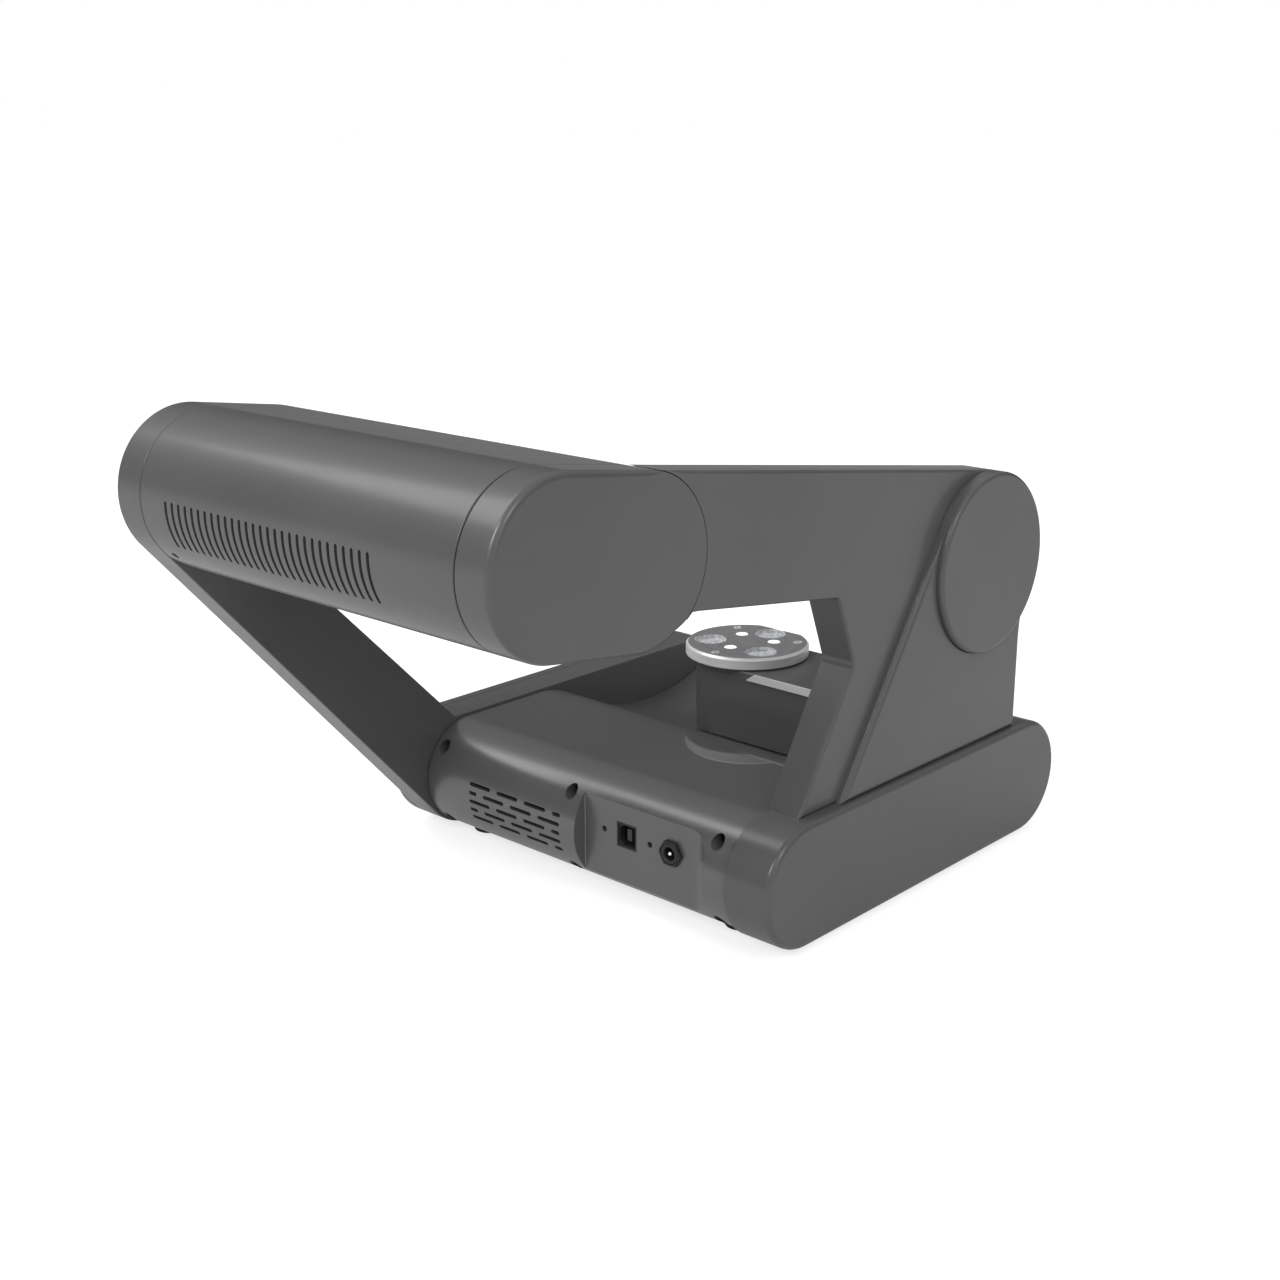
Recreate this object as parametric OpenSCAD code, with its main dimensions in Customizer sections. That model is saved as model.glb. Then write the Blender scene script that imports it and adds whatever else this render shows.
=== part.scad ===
// Desktop 3D scanner. A slim scan head lies across two side arms, and looks down and forward on a
// turntable. The turntable hangs on a swing arm from a hub on the near side, over a trough in the base.
// Millimetres. X runs across the object from the hub side, Y to the rear, Z up from the desk.

/* [Overall] */
// Depth from the front of the base to the back of the head
overall_len = 398.4; // [392:0.1:420]
// Height from the desk to the top of the head
overall_h = 241.6; // [238:0.1:250]
// Clear width between the two side arms
bay_w = 202; // [198:1:230]
// Thickness of the side arms and of the head's end caps
arm_t = 18.1; // [17:0.1:21]
// Wall of the moulded covers
wall = 2.5; // [2.2:0.1:2.8]

/* [Base] */
// Depth of the base
base_len = 245.2; // [242:0.1:252]
// Height of the two base ends
foot_h = 60; // [58:0.5:62]
// Width of each base end
foot_t = 25.6; // [24.6:0.1:30]
// Rounding of the outer edges of the base ends
foot_fillet = 3.2; // [1:0.1:4]
// How far the rubber pads lift the base ends off the desk
pad_h = 2; // [1.5:0.1:3]
// How far the deck lies below the tops of the base ends
deck_drop = 1.6; // [1:0.1:2.5]
// Rounding of the deck's front edge, where it falls into the trough
deck_fillet = 46; // [20:1:50]
// Thickness of the steel base plate
plate_t = 3; // [2:0.1:4]
// Radius of a rubber pad
pad_r = 8.5; // [6:0.1:10]

/* [Hub] */
// Distance of the swing axis behind the front of the base
hub_back = 72.8; // [70:0.1:78]
// Height of the swing axis over the desk
hub_h = 155.2; // [152:0.1:160]
// Radius of the round hub cover
hub_r = 44.8; // [42:0.1:46]
// Rounding of the hub cover's rim
hub_fillet = 3.5; // [1:0.1:4.5]

/* [Head] */
// Half the height of the head's rounded section
head_r = 36.4; // [35:0.1:38]
// Distance between the two round edges of that section
head_deep = 46.1; // [42:0.1:50]
// How far the head leans down to the front, in degrees
head_tilt = 8.15; // [6:0.05:10]
// Rounding of the near end cap's outer edge
cap_fillet = 5.6; // [2:0.1:7]
// Number of cooling slots in the back of the head
slot_count = 29; // [10:1:31]
// Width of a cooling slot
slot_w = 1.8; // [1:0.1:2.4]
// Width of the optical window
window_w = 150; // [140:1:156]
// Height of the optical window
window_h = 34; // [28:0.5:38]

/* [Swing arm] */
// Radius of the trough about the swing axis
trough_r = 120; // [118:0.1:122]
// Clearance between the swing box and the trough
swing_gap = 2; // [1:0.1:3]
// Half the width of the swing box, and radius of its round end
box_r = 27.6; // [26.5:0.1:30]
// Thickness of the link from the hub to the swing box
link_t = 11.5; // [8:0.1:14]
// Radius of the swing shaft
shaft_r = 8; // [6:0.1:9]

/* [Turntable] */
// Radius of the turntable
table_r = 33.4; // [31:0.1:36]
// Thickness of the turntable
table_t = 6.3; // [5:0.1:7]
// Distance of the turntable's axis from the middle of the bay
table_x = 15.8; // [0:0.1:20]
// Distance of the turntable's axis behind the swing axis
table_back = 12.8; // [10:0.1:15]
// Depth of the turntable's top below the swing axis
table_drop = 65.2; // [62:0.1:67]
// Radius of the three sockets in the turntable
socket_r = 8.7; // [7:0.1:10]
// Radius of the circle that the three sockets lie on
socket_ring = 20.1; // [18:0.1:21]

/* [Ports] */
// Side of the square USB socket
usb_s = 12.5; // [12:0.1:13.5]
// Radius of the power jack's opening
jack_r = 3.2; // [2.8:0.1:3.5]
// Height of the sockets over the desk
port_z = 36.1; // [34:0.1:38]

/* [Hidden] */
$fn = 96;

grey = [0.38, 0.38, 0.39];
dark = [0.16, 0.16, 0.17];
steel = [0.72, 0.73, 0.74];
alloy = [0.62, 0.63, 0.65];
black = [0.06, 0.06, 0.07];
board = [0.08, 0.25, 0.16];
glassy = [0.1, 0.12, 0.16, 0.6];

over = 1;            // overrun of a cut
tuck = 0.01;         // how far a tangent line is tucked into its circles
seam = 0.3;          // gap along a visible joint between two covers
fit = 0.1;           // gap round a cover that is let into another
run_fit = 0.05;      // radial clearance of a turning shaft
belt_fit = 0.15;     // clearance of the belt round its pulleys

in_x = bay_w / 2;
out_x = in_x + arm_t;
foot_x = in_x + foot_t;

foot_r = foot_h / 2;
foot_cz = pad_h + foot_r;
foot_top = pad_h + foot_h;
base_front = -overall_len / 2;
foot_front = [base_front + foot_r, foot_cz];
foot_rear = [base_front + base_len - foot_r, foot_cz];

belly_rise = 1;
setback = 2.1;       // how far the middle section stands back from the ends, front and rear
deck_z = foot_top - deck_drop;
belly_z = pad_h + belly_rise;
mid_r = (deck_z - belly_z) / 2;
mid_cz = belly_z + mid_r;
mid_front = [base_front + setback + mid_r, mid_cz];
mid_rear = [base_front + base_len - setback - mid_r, mid_cz];

hub = [base_front + hub_back, hub_h];
head_rear = [overall_len / 2 - head_r, overall_h - head_r];
head_front = head_rear - head_deep * [cos(head_tilt), sin(head_tilt)];

table_top = hub_h - table_drop;
table_y = hub[0] + table_back;
table_gap = 0.5;
lid_t = 3;
box_top = table_top - table_t - table_gap;
swing_r = trough_r - swing_gap;
link_gap = 1.5;
link_x0 = -in_x + link_gap;
link_x1 = link_x0 + link_t;

// Ends of the line that touches circle a and circle b, on the left of a to b for side 1, the right for -1
function tangent(a, ra, b, rb, side) =
    let (d = b - a, u = d / norm(d), n = side * [-u[1], u[0]], k = (ra - rb) / norm(d),
        m = k * u + sqrt(1 - k * k) * n)
    [a + ra * m, b + rb * m];

// A counter-clockwise outline with every edge moved inwards by d
function inset(p, d) = [for (i = [0 : len(p) - 1])
    let (a = p[(i + len(p) - 1) % len(p)], b = p[i], c = p[(i + 1) % len(p)],
        u = (b - a) / norm(b - a), v = (c - b) / norm(c - b),
        m = [-u[1], u[0]], n = [-v[1], v[0]])
    b + d * (m + n) / (1 + m * n)];

// Extrudes a side view, drawn in Y and Z, from x0 to x1
module along_x(x0, x1) {
    translate([x0, 0, 0]) rotate([90, 0, 90]) linear_extrude(x1 - x0) children();
}

// Straight bar with round ends, or a tapered one where the radii differ
module capsule(a, ra, b, rb) {
    translate(a) circle(ra);
    translate(b) circle(rb);
    p = tangent(a, ra - tuck, b, rb - tuck, 1);
    q = tangent(a, ra - tuck, b, rb - tuck, -1);
    polygon([p[0], q[0], q[1], p[1]]);
}

// Cylinder along X
module rod_x(x0, x1, at, r) {
    translate([x0, at[0], at[1]]) rotate([0, 90, 0]) cylinder(x1 - x0, r = r);
}

// Flat-bottomed block with round ends and one rounded face, grown from x = 0 along X
module rounded_block(a, b, r, t, f) {
    d = b - a;
    translate([0, a[0], a[1]]) rotate([atan2(d[1], d[0]), 0, 0]) {
        for (y = [0, norm(d)]) translate([0, y, 0]) rotate([0, 90, 0]) rotate_extrude() {
            square([r, t - f]);
            square([r - f, t]);
            translate([r - f, t - f]) circle(f);
        }
        rotate([-90, 0, 0]) linear_extrude(norm(d)) {
            translate([0, -r]) square([t - f, 2 * r]);
            translate([0, f - r]) square([t, 2 * (r - f)]);
            for (s = [-1, 1]) translate([t - f, s * (r - f)]) circle(f);
        }
    }
}

// Side view of the base's middle section, g inside its skin
fillet_y = hub[0] + sqrt(pow(trough_r + deck_fillet, 2) - pow(hub_h - deck_z + deck_fillet, 2));
fillet_c = [fillet_y, deck_z - deck_fillet];
fillet_end = hub + trough_r * (fillet_c - hub) / (trough_r + deck_fillet);

module base2d(g) {
    difference() {
        capsule(mid_front, mid_r - g, mid_rear, mid_r - g);
        translate(hub) circle(trough_r + g, $fn = 240);
        difference() {
            polygon([[fillet_y, deck_z + over], [fillet_end[0] - over, deck_z + over],
                [fillet_end[0] - over, fillet_end[1]], fillet_end, [fillet_y, fillet_end[1]]]);
            translate(fillet_c) circle(deck_fillet - g, $fn = 240);
        }
    }
}

// Recess for the sockets: a flat at panel_y, from its square far end to its hollow near end
panel_back = 20.8;
panel_y = mid_rear[0] + panel_back;
panel_far = -5.9;
panel_near = -74;
cove_r = 17;

module port_recess() {
    translate([panel_near, panel_y, 0]) cube([panel_far - panel_near, mid_r, foot_top]);
    translate([panel_near, panel_y + cove_r, 0]) cylinder(foot_top, r = cove_r);
}

usb_x = -33.3;
jack_x = -62;
light_shares = [1.16, -1.184];
light_xs = usb_x * [1, 1] + usb_s * light_shares;
light_r = 1.1;

// Brick pattern of five rows of cooling slots
vent_x0 = 4.3;
vent_x1 = 68.9;
vent_slot = 15;
vent_pitch = 19.7;
vent_rows = 5;
vent_row_pitch = 4.55;
vent_h = 1.9;
vent_low = 20.1;
vent_min = 3;

module vent_slot_at(x0, x1, z) {
    y = mid_rear[0];
    r = vent_h / 2;
    translate([x0 + r, y, z - r]) cube([x1 - x0 - vent_h, mid_r + over, vent_h]);
    for (x = [x0 + r, x1 - r])
        translate([x, y, z]) rotate([-90, 0, 0]) cylinder(mid_r + over, r = r, $fn = 24);
}

vent_count = ceil((vent_x1 - vent_x0) / vent_pitch);
module base_vents() {
    for (row = [0 : vent_rows - 1], k = [0 : vent_count - 1]) {
        x1 = vent_x1 - k * vent_pitch;
        x0 = max(vent_x0, x1 - vent_slot);
        z = vent_low + row * vent_row_pitch;
        if (x1 - x0 > vent_min) {
            if (row % 2 == 0) vent_slot_at(x0, x1, z);
            else vent_slot_at(vent_x0 + vent_x1 - x1, vent_x0 + vent_x1 - x0, z);
        }
    }
}

// Six screws from the rear hold the base's shell to its plate
screw_mid_x = 2;
screw_in = 8.5;
screw_xs = [for (k = [-1, 0, 1]) screw_mid_x + k * (in_x - screw_in)];
screw_z = [10.2, 50];
screw_hole_r = 3.4;
screw_boss_t = 1.7;
screw_head_r = 2.8;
screw_head_h = 2;
screw_r = 1.4;
screw_len = 10;
screw_back = 14.8;
screw_y = mid_rear[0] + screw_back;

module shell_screws(head_r, shank_r, head_len) {
    for (x = screw_xs, z = screw_z) translate([x, screw_y, z]) rotate([-90, 0, 0]) {
        cylinder(head_len, r = head_r, $fn = 32);
        translate([0, 0, -screw_len]) cylinder(screw_len + over, r = shank_r, $fn = 32);
    }
}

// Steel bracket on the base plate that the rear screws run into
bracket_t = 1.5;
bracket_foot = 16;
bracket_lift = 4;
bracket_margin = 6;
bracket_hole = 8;
module rear_bracket() color(steel) difference() {
    y = screw_y - wall;
    z = belly_z + plate_t;
    y0 = mid_rear[0] - over;
    along_x(-in_x + bracket_margin, in_x - bracket_margin) polygon([[y0 - bracket_foot, z], [y0, z],
        [y, z + bracket_lift], [y, deck_z - bracket_margin], [y - bracket_t, deck_z - bracket_margin],
        [y - bracket_t, z + bracket_lift + bracket_t / 2], [y0 - bracket_t / 2, z + bracket_t],
        [y0 - bracket_foot, z + bracket_t]]);
    for (x = screw_xs, h = screw_z)
        translate([x, screw_y - screw_len - over, h]) rotate([-90, 0, 0])
            cylinder(screw_len + over, r = screw_r, $fn = 32);
    for (k = [0, 1])
        translate([screw_xs[k] + bracket_hole, y - bracket_t - over, screw_z[0] + bracket_margin])
            cube([screw_xs[1] - screw_xs[0] - 2 * bracket_hole, bracket_t + 2 * over,
                screw_z[1] - screw_z[0] - 2 * bracket_margin]);
}

plate_margin = 6;
module base_plate2d(g) {
    translate([-in_x + plate_margin + g, mid_front[0] + g])
        square([bay_w - 2 * (plate_margin + g), mid_rear[0] - mid_front[0] - 2 * g]);
}

module base_shell() color(grey) difference() {
    along_x(-in_x + seam, in_x - seam) base2d(0);
    difference() {
        along_x(-in_x, in_x) base2d(wall);
        translate([panel_near - cove_r, panel_y - wall, 0])
            cube([panel_far + wall - panel_near + cove_r, mid_r, foot_top]);
        for (x = screw_xs, z = screw_z) translate([x, screw_y - wall, z]) rotate([-90, 0, 0])
            cylinder(mid_r, r = screw_hole_r + screw_boss_t, $fn = 32);
    }
    port_recess();
    base_vents();
    for (x = pad_xs, y = pad_ys) translate([x, y, 0]) cylinder(belly_z + pad_recess, r = pad_r + fit);
    shell_screws(screw_hole_r, screw_r + fit, mid_r);
    translate([0, 0, belly_z - over]) linear_extrude(wall + 2 * over) base_plate2d(0);
    translate([usb_x - usb_s / 2 - fit, panel_y - wall - over, port_z - usb_s / 2 - fit])
        cube([usb_s + 2 * fit, wall + 2 * over, usb_s + 2 * fit]);
    translate([jack_x, panel_y - wall - over, port_z]) rotate([-90, 0, 0])
        cylinder(wall + 2 * over, r = jack_body_r + fit);
    for (x = light_xs) translate([x, panel_y - wall - over, port_z]) rotate([-90, 0, 0])
        cylinder(wall + 2 * over, r = light_r + fit, $fn = 24);
}

// Pads are let in round the four corners of the steel plate
pad_in = 14.5;
pad_rear_in = 16;
pad_recess = 1;
pad_xs = [-in_x + pad_in, in_x - pad_in];
pad_ys = [mid_front[0] + pad_in, mid_rear[0] - pad_rear_in + pad_in];
pad_screw_r = 1.5;
pad_screw_head = 2.8;
pad_bore = 3.4;
pad_screw_up = 0.7;

module base_plate() color(steel) difference() {
    translate([0, 0, belly_z]) linear_extrude(plate_t) base_plate2d(fit);
    for (x = pad_xs, y = pad_ys) translate([x, y, belly_z - over]) {
        cylinder(pad_recess + over, r = pad_r + fit);
        cylinder(plate_t + 2 * over, r = pad_screw_r);
    }
}

module rubber_pads() color(black) for (x = pad_xs, y = pad_ys) translate([x, y, 0])
    difference() {
        rotate_extrude() {
            polygon([[0, 0], [pad_r - pad_chamfer, 0], [pad_r, pad_chamfer],
                [pad_r, belly_z + pad_recess], [0, belly_z + pad_recess]]);
        }
        translate([0, 0, -over]) cylinder(pad_screw_up + pad_screw_h + over, r = pad_bore);
        cylinder(belly_z + 2 * pad_recess, r = pad_screw_r + fit);
    }
pad_chamfer = 0.8;
pad_screw_h = 1.6;

module pad_screws() color(steel) for (x = pad_xs, y = pad_ys) translate([x, y, pad_screw_up]) {
    cylinder(pad_screw_h, r = pad_screw_head);
    cylinder(belly_z + plate_t - seam - pad_screw_up, r = pad_screw_r);
}

module base_screws() color(steel) difference() {
    shell_screws(screw_head_r, screw_r, screw_head_h);
    for (x = screw_xs, z = screw_z) translate([x, screw_y + screw_head_h / 2, z])
        rotate([-90, 0, 0]) cylinder(screw_head_h, r = screw_r, $fn = 6);
}

// Drive of the swing arm: a motor in the base, and a belt up the hollow near arm
drive_clear = 35.65;
drive_z = 33;
drive = [hub[0] + sqrt(pow(trough_r + drive_clear, 2) - pow(hub_h - drive_z, 2)), drive_z];
belt_w = 6;
belt_t = 1.5;
bearing_w = 7;
bearing_r = 2 * shaft_r;
block_t = 3.5;
drive_pulley_r = 8;
swing_pulley_r = 26;
belt_x1 = -in_x - bearing_w - 3 * seam;
belt_x0 = belt_x1 - belt_w;
motor_s = 35;
motor_l = 26;
motor_boss_r = 11;
motor_shaft_r = 2.5;
motor_bore_l = 10;
motor_corner = 4;

module belt_loop(g) {
    capsule(drive, drive_pulley_r + g, hub, swing_pulley_r + g);
}

// Square motor body with cut corners, its round boss and shaft bore, from z = 0 down
module motor_body(l, boss_h) {
    difference() {
        union() {
            translate([0, 0, -l]) linear_extrude(l) intersection() {
                square(motor_s, center = true);
                rotate(45) square(motor_s * sqrt(2) - motor_corner, center = true);
            }
            cylinder(boss_h, r = motor_boss_r);
        }
        translate([0, 0, -motor_bore_l]) cylinder(motor_bore_l + boss_h + over, r = motor_shaft_r + run_fit);
    }
}

module swing_motor() color(dark)
    translate([-in_x, drive[0], drive[1]]) rotate([0, -90, 0]) motor_body(motor_l, wall);

module drive_pulley() color(steel) {
    rod_x(belt_x0, belt_x1, drive, drive_pulley_r);
    rod_x(belt_x0, -in_x + motor_bore_l - over, drive, motor_shaft_r);
}

module swing_belt() color(black) along_x(belt_x0, belt_x1) difference() {
    belt_loop(belt_fit + belt_t);
    belt_loop(belt_fit);
}

module swing_pulley() color(alloy) difference() {
    rod_x(belt_x0, belt_x1, hub, swing_pulley_r);
    rod_x(belt_x0 - over, belt_x1 + over, hub, shaft_r);
}

module near_foot() color(grey) difference() {
    translate([-in_x, 0, 0]) mirror([1, 0, 0])
        rounded_block(foot_front, foot_rear, foot_r, foot_t, foot_fillet);
    along_x(-foot_x + wall, -in_x - wall) capsule(foot_front, foot_r - wall, foot_rear, foot_r - wall);
    rod_x(-in_x - wall - over, -in_x + over, drive, motor_boss_r + fit);
    intersection() {
        along_x(belt_x0 - over, belt_x1 + over) belt_loop(belt_fit + belt_t + over);
        translate([-foot_x, base_front, foot_cz]) cube([foot_t, base_len, foot_r + over]);
    }
}

// Near arm: a hooked plate from the near foot, round the hub, to the head
arm_h = 57;
leg_fore = 35;
leg_back = 141;
bend_reach = [103.1, -29.4];
arm_reach = 131.5;
wedge_reach = 31.3;
wedge_angle = 237;
bend = hub + bend_reach;
leg_rear = [hub[0] + leg_back, foot_top];
leg_front_y = hub[0] - leg_fore;
arm_top = tangent(hub, hub_r, head_front, head_r, 1);
arm_dir = (arm_top[1] - arm_top[0]) / norm(arm_top[1] - arm_top[0]);
arm_low = arm_top[1] + arm_h * [arm_dir[1], -arm_dir[0]];
arm_outline = [[leg_front_y, foot_top], leg_rear, bend, arm_low - arm_reach * arm_dir,
    arm_low - wedge_reach * arm_dir, head_front + head_r * [cos(wedge_angle), sin(wedge_angle)],
    head_front, arm_top[1], arm_top[0], [leg_front_y, hub[1]]];

module arm2d(g) {
    difference() {
        union() {
            polygon(inset(arm_outline, g));
            translate(hub) circle(hub_r - g);
        }
        capsule(head_front, head_r + seam, head_rear, head_r + seam);
    }
}

hub_lip = 6;
module near_arm() color(grey) difference() {
    along_x(-out_x, -in_x) arm2d(0);
    along_x(-out_x + wall, -in_x + over) arm2d(wall);
    rod_x(-out_x - over, -in_x, hub, hub_r - hub_lip);
    intersection() {
        along_x(belt_x0 - over, belt_x1 + over) belt_loop(belt_fit + belt_t + over);
        translate([-foot_x, base_front, foot_cz]) cube([foot_t, base_len, foot_r + 2 * wall]);
    }
}

module near_arm_liner() color(grey) difference() {
    along_x(-in_x - wall, -in_x) arm2d(wall + fit);
    rod_x(-in_x - wall - over, -in_x + over, hub, bearing_r + block_t + fit);
}

module bearing_block() color(alloy) difference() {
    union() {
        rod_x(-in_x - bearing_w, -in_x, hub, bearing_r + block_t);
        rod_x(-in_x - bearing_w, -in_x - wall, hub, bearing_r + 3 * block_t);
    }
    rod_x(-in_x - bearing_w - over, -in_x + over, hub, bearing_r);
}

// Ball bearing as one ring with its grooved faces
module bearing_ring(bore, rim, w) {
    groove = w / 8;
    mid = (bore + rim) / 2;
    rotate_extrude() difference() {
        translate([bore, 0]) square([rim - bore, w]);
        for (z = [-over, w - groove]) translate([mid - groove, z]) square([2 * groove, groove + over]);
    }
}

outer_bearing_x = -foot_x + wall;
module swing_bearings() color(steel) for (x = [outer_bearing_x, -in_x - bearing_w])
    translate([x, hub[0], hub[1]]) rotate([0, 90, 0])
        bearing_ring(shaft_r + run_fit, bearing_r, bearing_w);

// Round cap over the end of the shaft, with a collar inside for the outer bearing
hub_t = foot_t - arm_t;
module hub_cover() color(grey) translate([-out_x, hub[0], hub[1]]) rotate([0, -90, 0]) {
    difference() {
        rotate_extrude() {
            square([hub_r, hub_t - hub_fillet]);
            square([hub_r - hub_fillet, hub_t]);
            translate([hub_r - hub_fillet, hub_t - hub_fillet]) circle(hub_fillet);
        }
        translate([0, 0, -over]) cylinder(hub_t - wall + over, r = hub_r - hub_lip);
    }
    translate([0, 0, hub_t - wall - bearing_w]) difference() {
        cylinder(bearing_w + wall / 2, r = bearing_r + block_t);
        translate([0, 0, -over]) cylinder(bearing_w + over, r = bearing_r);
    }
}

module swing_shaft() color(steel) rod_x(-foot_x + wall + seam, link_x1, hub, shaft_r);

// Gusset: the raised outer casing from the near foot up to the hub
gusset_t = 4.3;
gusset_back = 114.5;
gusset_reach = 0.1;
gusset_round = hub_r + gusset_reach;
module near_gusset() color(grey) along_x(-out_x - gusset_t, -out_x) difference() {
    polygon([[leg_front_y, foot_top], [hub[0] + gusset_back, foot_top],
        tangent([hub[0] + gusset_back, foot_top], 0, hub, gusset_round, -1)[1], hub,
        [leg_front_y, hub[1]]]);
    translate(hub) circle(hub_r + seam);
}

// Far side: one plate with the foot, the slanting plank and the end of the head
module far2d(g) {
    capsule(foot_front, foot_r - g, foot_rear, foot_r - g);
    capsule(head_front, head_r - g, head_rear, head_r - g);
    back = tangent(foot_rear, foot_r - g - tuck, head_rear, head_r - g - tuck, -1);
    front = plank_edge(g);
    polygon([back[0], back[1], head_rear, head_front, front[0], front[1], foot_rear]);
}

// Front edge of the plank: it rises from the top of the foot and passes under the head's front round
plank_back = 149.8;
plank_r = 29.8;
plank_line = tangent([hub[0] + plank_back, foot_top], 0, head_front, plank_r, -1);
function plank_edge(g) =
    let (u = (plank_line[1] - plank_line[0]) / norm(plank_line[1] - plank_line[0]),
        low = plank_line[0] + g * [u[1], -u[0]])
    [low + ((head_front - low) * u) * u, low - foot_r * u];

module far_arm() color(grey) difference() {
    along_x(in_x, out_x) far2d(0);
    along_x(in_x + wall, out_x + over) far2d(wall);
}

module far_arm_liner() color(grey) difference() {
    along_x(out_x - wall, out_x) far2d(wall + fit);
}

module far_foot_cover() color(grey) difference() {
    translate([out_x, 0, 0])
        rounded_block(foot_front, foot_rear, foot_r, foot_t - arm_t, foot_fillet);
    along_x(out_x - over, foot_x - wall) capsule(foot_front, foot_r - foot_fillet - wall,
        foot_rear, foot_r - foot_fillet - wall);
}

// Swing arm: a link from the shaft down to a long box that carries the turntable
link_r = 26;
module link2d() {
    low = hub_h - swing_r;
    intersection() {
        translate(hub) circle(swing_r, $fn = 240);
        union() {
            translate(hub) circle(link_r);
            polygon([hub - [link_r, 0], [table_y - box_r, box_top], [table_y - box_r, low],
                [table_y + box_r, low], [table_y + box_r, box_top], hub + [link_r, 0]]);
        }
    }
}

module swing_link() color(grey) difference() {
    along_x(link_x0, link_x1) link2d();
    rod_x(link_x0 - over, link_x1 + over, hub, shaft_r);
}

module box2d(g) {
    translate([table_x, table_y]) circle(box_r - g);
    translate([link_x1 + g, table_y - box_r + g])
        square([table_x - link_x1 - g, 2 * (box_r - g)]);
}

module swing_box() color(grey) difference() {
    box_low = hub_h - swing_r;
    intersection() {
        translate([0, 0, box_low]) linear_extrude(box_top - lid_t - box_low) box2d(0);
        rod_x(link_x1, table_x + box_r, hub, swing_r, $fn = 240);
    }
    intersection() {
        translate([0, 0, box_low]) linear_extrude(box_top - box_low) box2d(wall);
        rod_x(link_x1, table_x + box_r, hub, swing_r - wall, $fn = 240);
    }
}

table_bore = 8;
table_bearing_r = 14;
table_bearing_w = 7;
seat_wall = 3;
seat_h = 5;
module swing_lid() color(grey) difference() {
    union() {
        translate([0, 0, box_top - lid_t]) linear_extrude(lid_t) box2d(0);
        translate([table_x, table_y, box_top - lid_t - seat_h])
            cylinder(seat_h + over, r = table_bearing_r + seat_wall);
    }
    translate([table_x, table_y, box_top - lid_t - seat_h - over])
        cylinder(lid_t + seat_h + 2 * over, r = table_bearing_r);
}

strip_t = 0.8;
strip_h = 4;
strip_end = 2;
strip_slant = 5.6;
module trim_strip() color(steel)
    translate([0, table_y + box_r + strip_t, 0]) rotate([90, 0, 0]) linear_extrude(strip_t)
        polygon([[link_x1 + strip_end, box_top - strip_h],
            [table_x - box_r + strip_slant, box_top - strip_h],
            [table_x - box_r, box_top], [link_x1 + strip_end, box_top]]);

module table_bearing() color(steel) translate([table_x, table_y, box_top - table_bearing_w - seam])
    bearing_ring(table_bore, table_bearing_r, table_bearing_w);

module table_motor() color(dark)
    translate([table_x, table_y, box_top - lid_t - seat_h]) motor_body(table_motor_l, table_boss_h);
motor_clear = 3.5;
table_motor_l = box_top - lid_t - seat_h - hub_h - motor_clear
    + sqrt(pow(swing_r - wall, 2) - pow(table_back + motor_s / 2, 2));
table_boss_h = 0.4;

spindle_flange_r = 20;
spindle_flange_t = 1.6;
module table_spindle() color(steel) translate([table_x, table_y, 0]) {
    under = table_top - table_t;
    translate([0, 0, box_top - table_bearing_w])
        cylinder(under - box_top + table_bearing_w, r = table_bore - run_fit);
    translate([0, 0, under]) cylinder(spindle_flange_t, r = spindle_flange_r);
    translate([0, 0, box_top - lid_t - seat_h - motor_bore_l + over])
        cylinder(motor_bore_l + lid_t + seat_h, r = motor_shaft_r);
}

table_chamfer = 1.2;
table_flat = 30.2;
socket_depth = 2.6;
socket_turns = [30, 150, 270];
magnet_turns = [90, 219, 321];
magnet_ring = 14.4;
magnet_r = 3.5;
magnet_depth = 3;
plate_screw_ring = 27;
plate_screw_r = 1.5;
plate_screw_head = 2.4;
plate_screw_depth = 1.4;

// Copies the children round the turntable's axis, at each of the angles given
module around(turns, r) {
    for (a = turns) translate([table_x, table_y, 0]) rotate(a) translate([r, 0, 0]) children();
}

module turntable() color(alloy) difference() {
    translate([table_x, table_y, table_top - table_t]) rotate_extrude()
        polygon([[0, 0], [table_r - table_chamfer / 2, 0], [table_r, table_chamfer / 2],
            [table_r, table_t - table_chamfer], [table_r - table_chamfer, table_t], [0, table_t]]);
    translate([table_x - table_r, table_y - table_flat - table_r, table_top - table_t - over])
        cube([2 * table_r, table_r, table_t + 2 * over]);
    translate([table_x, table_y, table_top - table_t - over])
        cylinder(spindle_flange_t + over, r = spindle_flange_r + fit);
    around(socket_turns, socket_ring) translate([0, 0, table_top - socket_depth])
        cylinder(socket_depth + over, r = socket_r);
    around(magnet_turns, magnet_ring) translate([0, 0, table_top - magnet_depth])
        cylinder(magnet_depth + over, r = magnet_r);
    around(magnet_turns, plate_screw_ring) translate([0, 0, table_top - plate_screw_depth])
        cylinder(plate_screw_depth + over, r = plate_screw_head + fit);
    around(magnet_turns, plate_screw_ring) translate([0, 0, table_top - table_t - over])
        cylinder(table_t + 2 * over, r = plate_screw_r);
}

module table_magnets() color(steel) around(magnet_turns, magnet_ring)
    translate([0, 0, table_top - magnet_depth]) cylinder(magnet_depth, r = magnet_r - fit);

module table_screws() color(steel) around(magnet_turns, plate_screw_ring) difference() {
    union() {
        translate([0, 0, table_top - plate_screw_depth])
            cylinder(plate_screw_depth, r = plate_screw_head);
        translate([0, 0, table_top - table_t])
            cylinder(table_t - plate_screw_depth + fit, r = plate_screw_r);
    }
    translate([0, 0, table_top - plate_screw_depth / 2])
        cylinder(plate_screw_depth, r = plate_screw_r * 0.8, $fn = 6);
}

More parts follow.
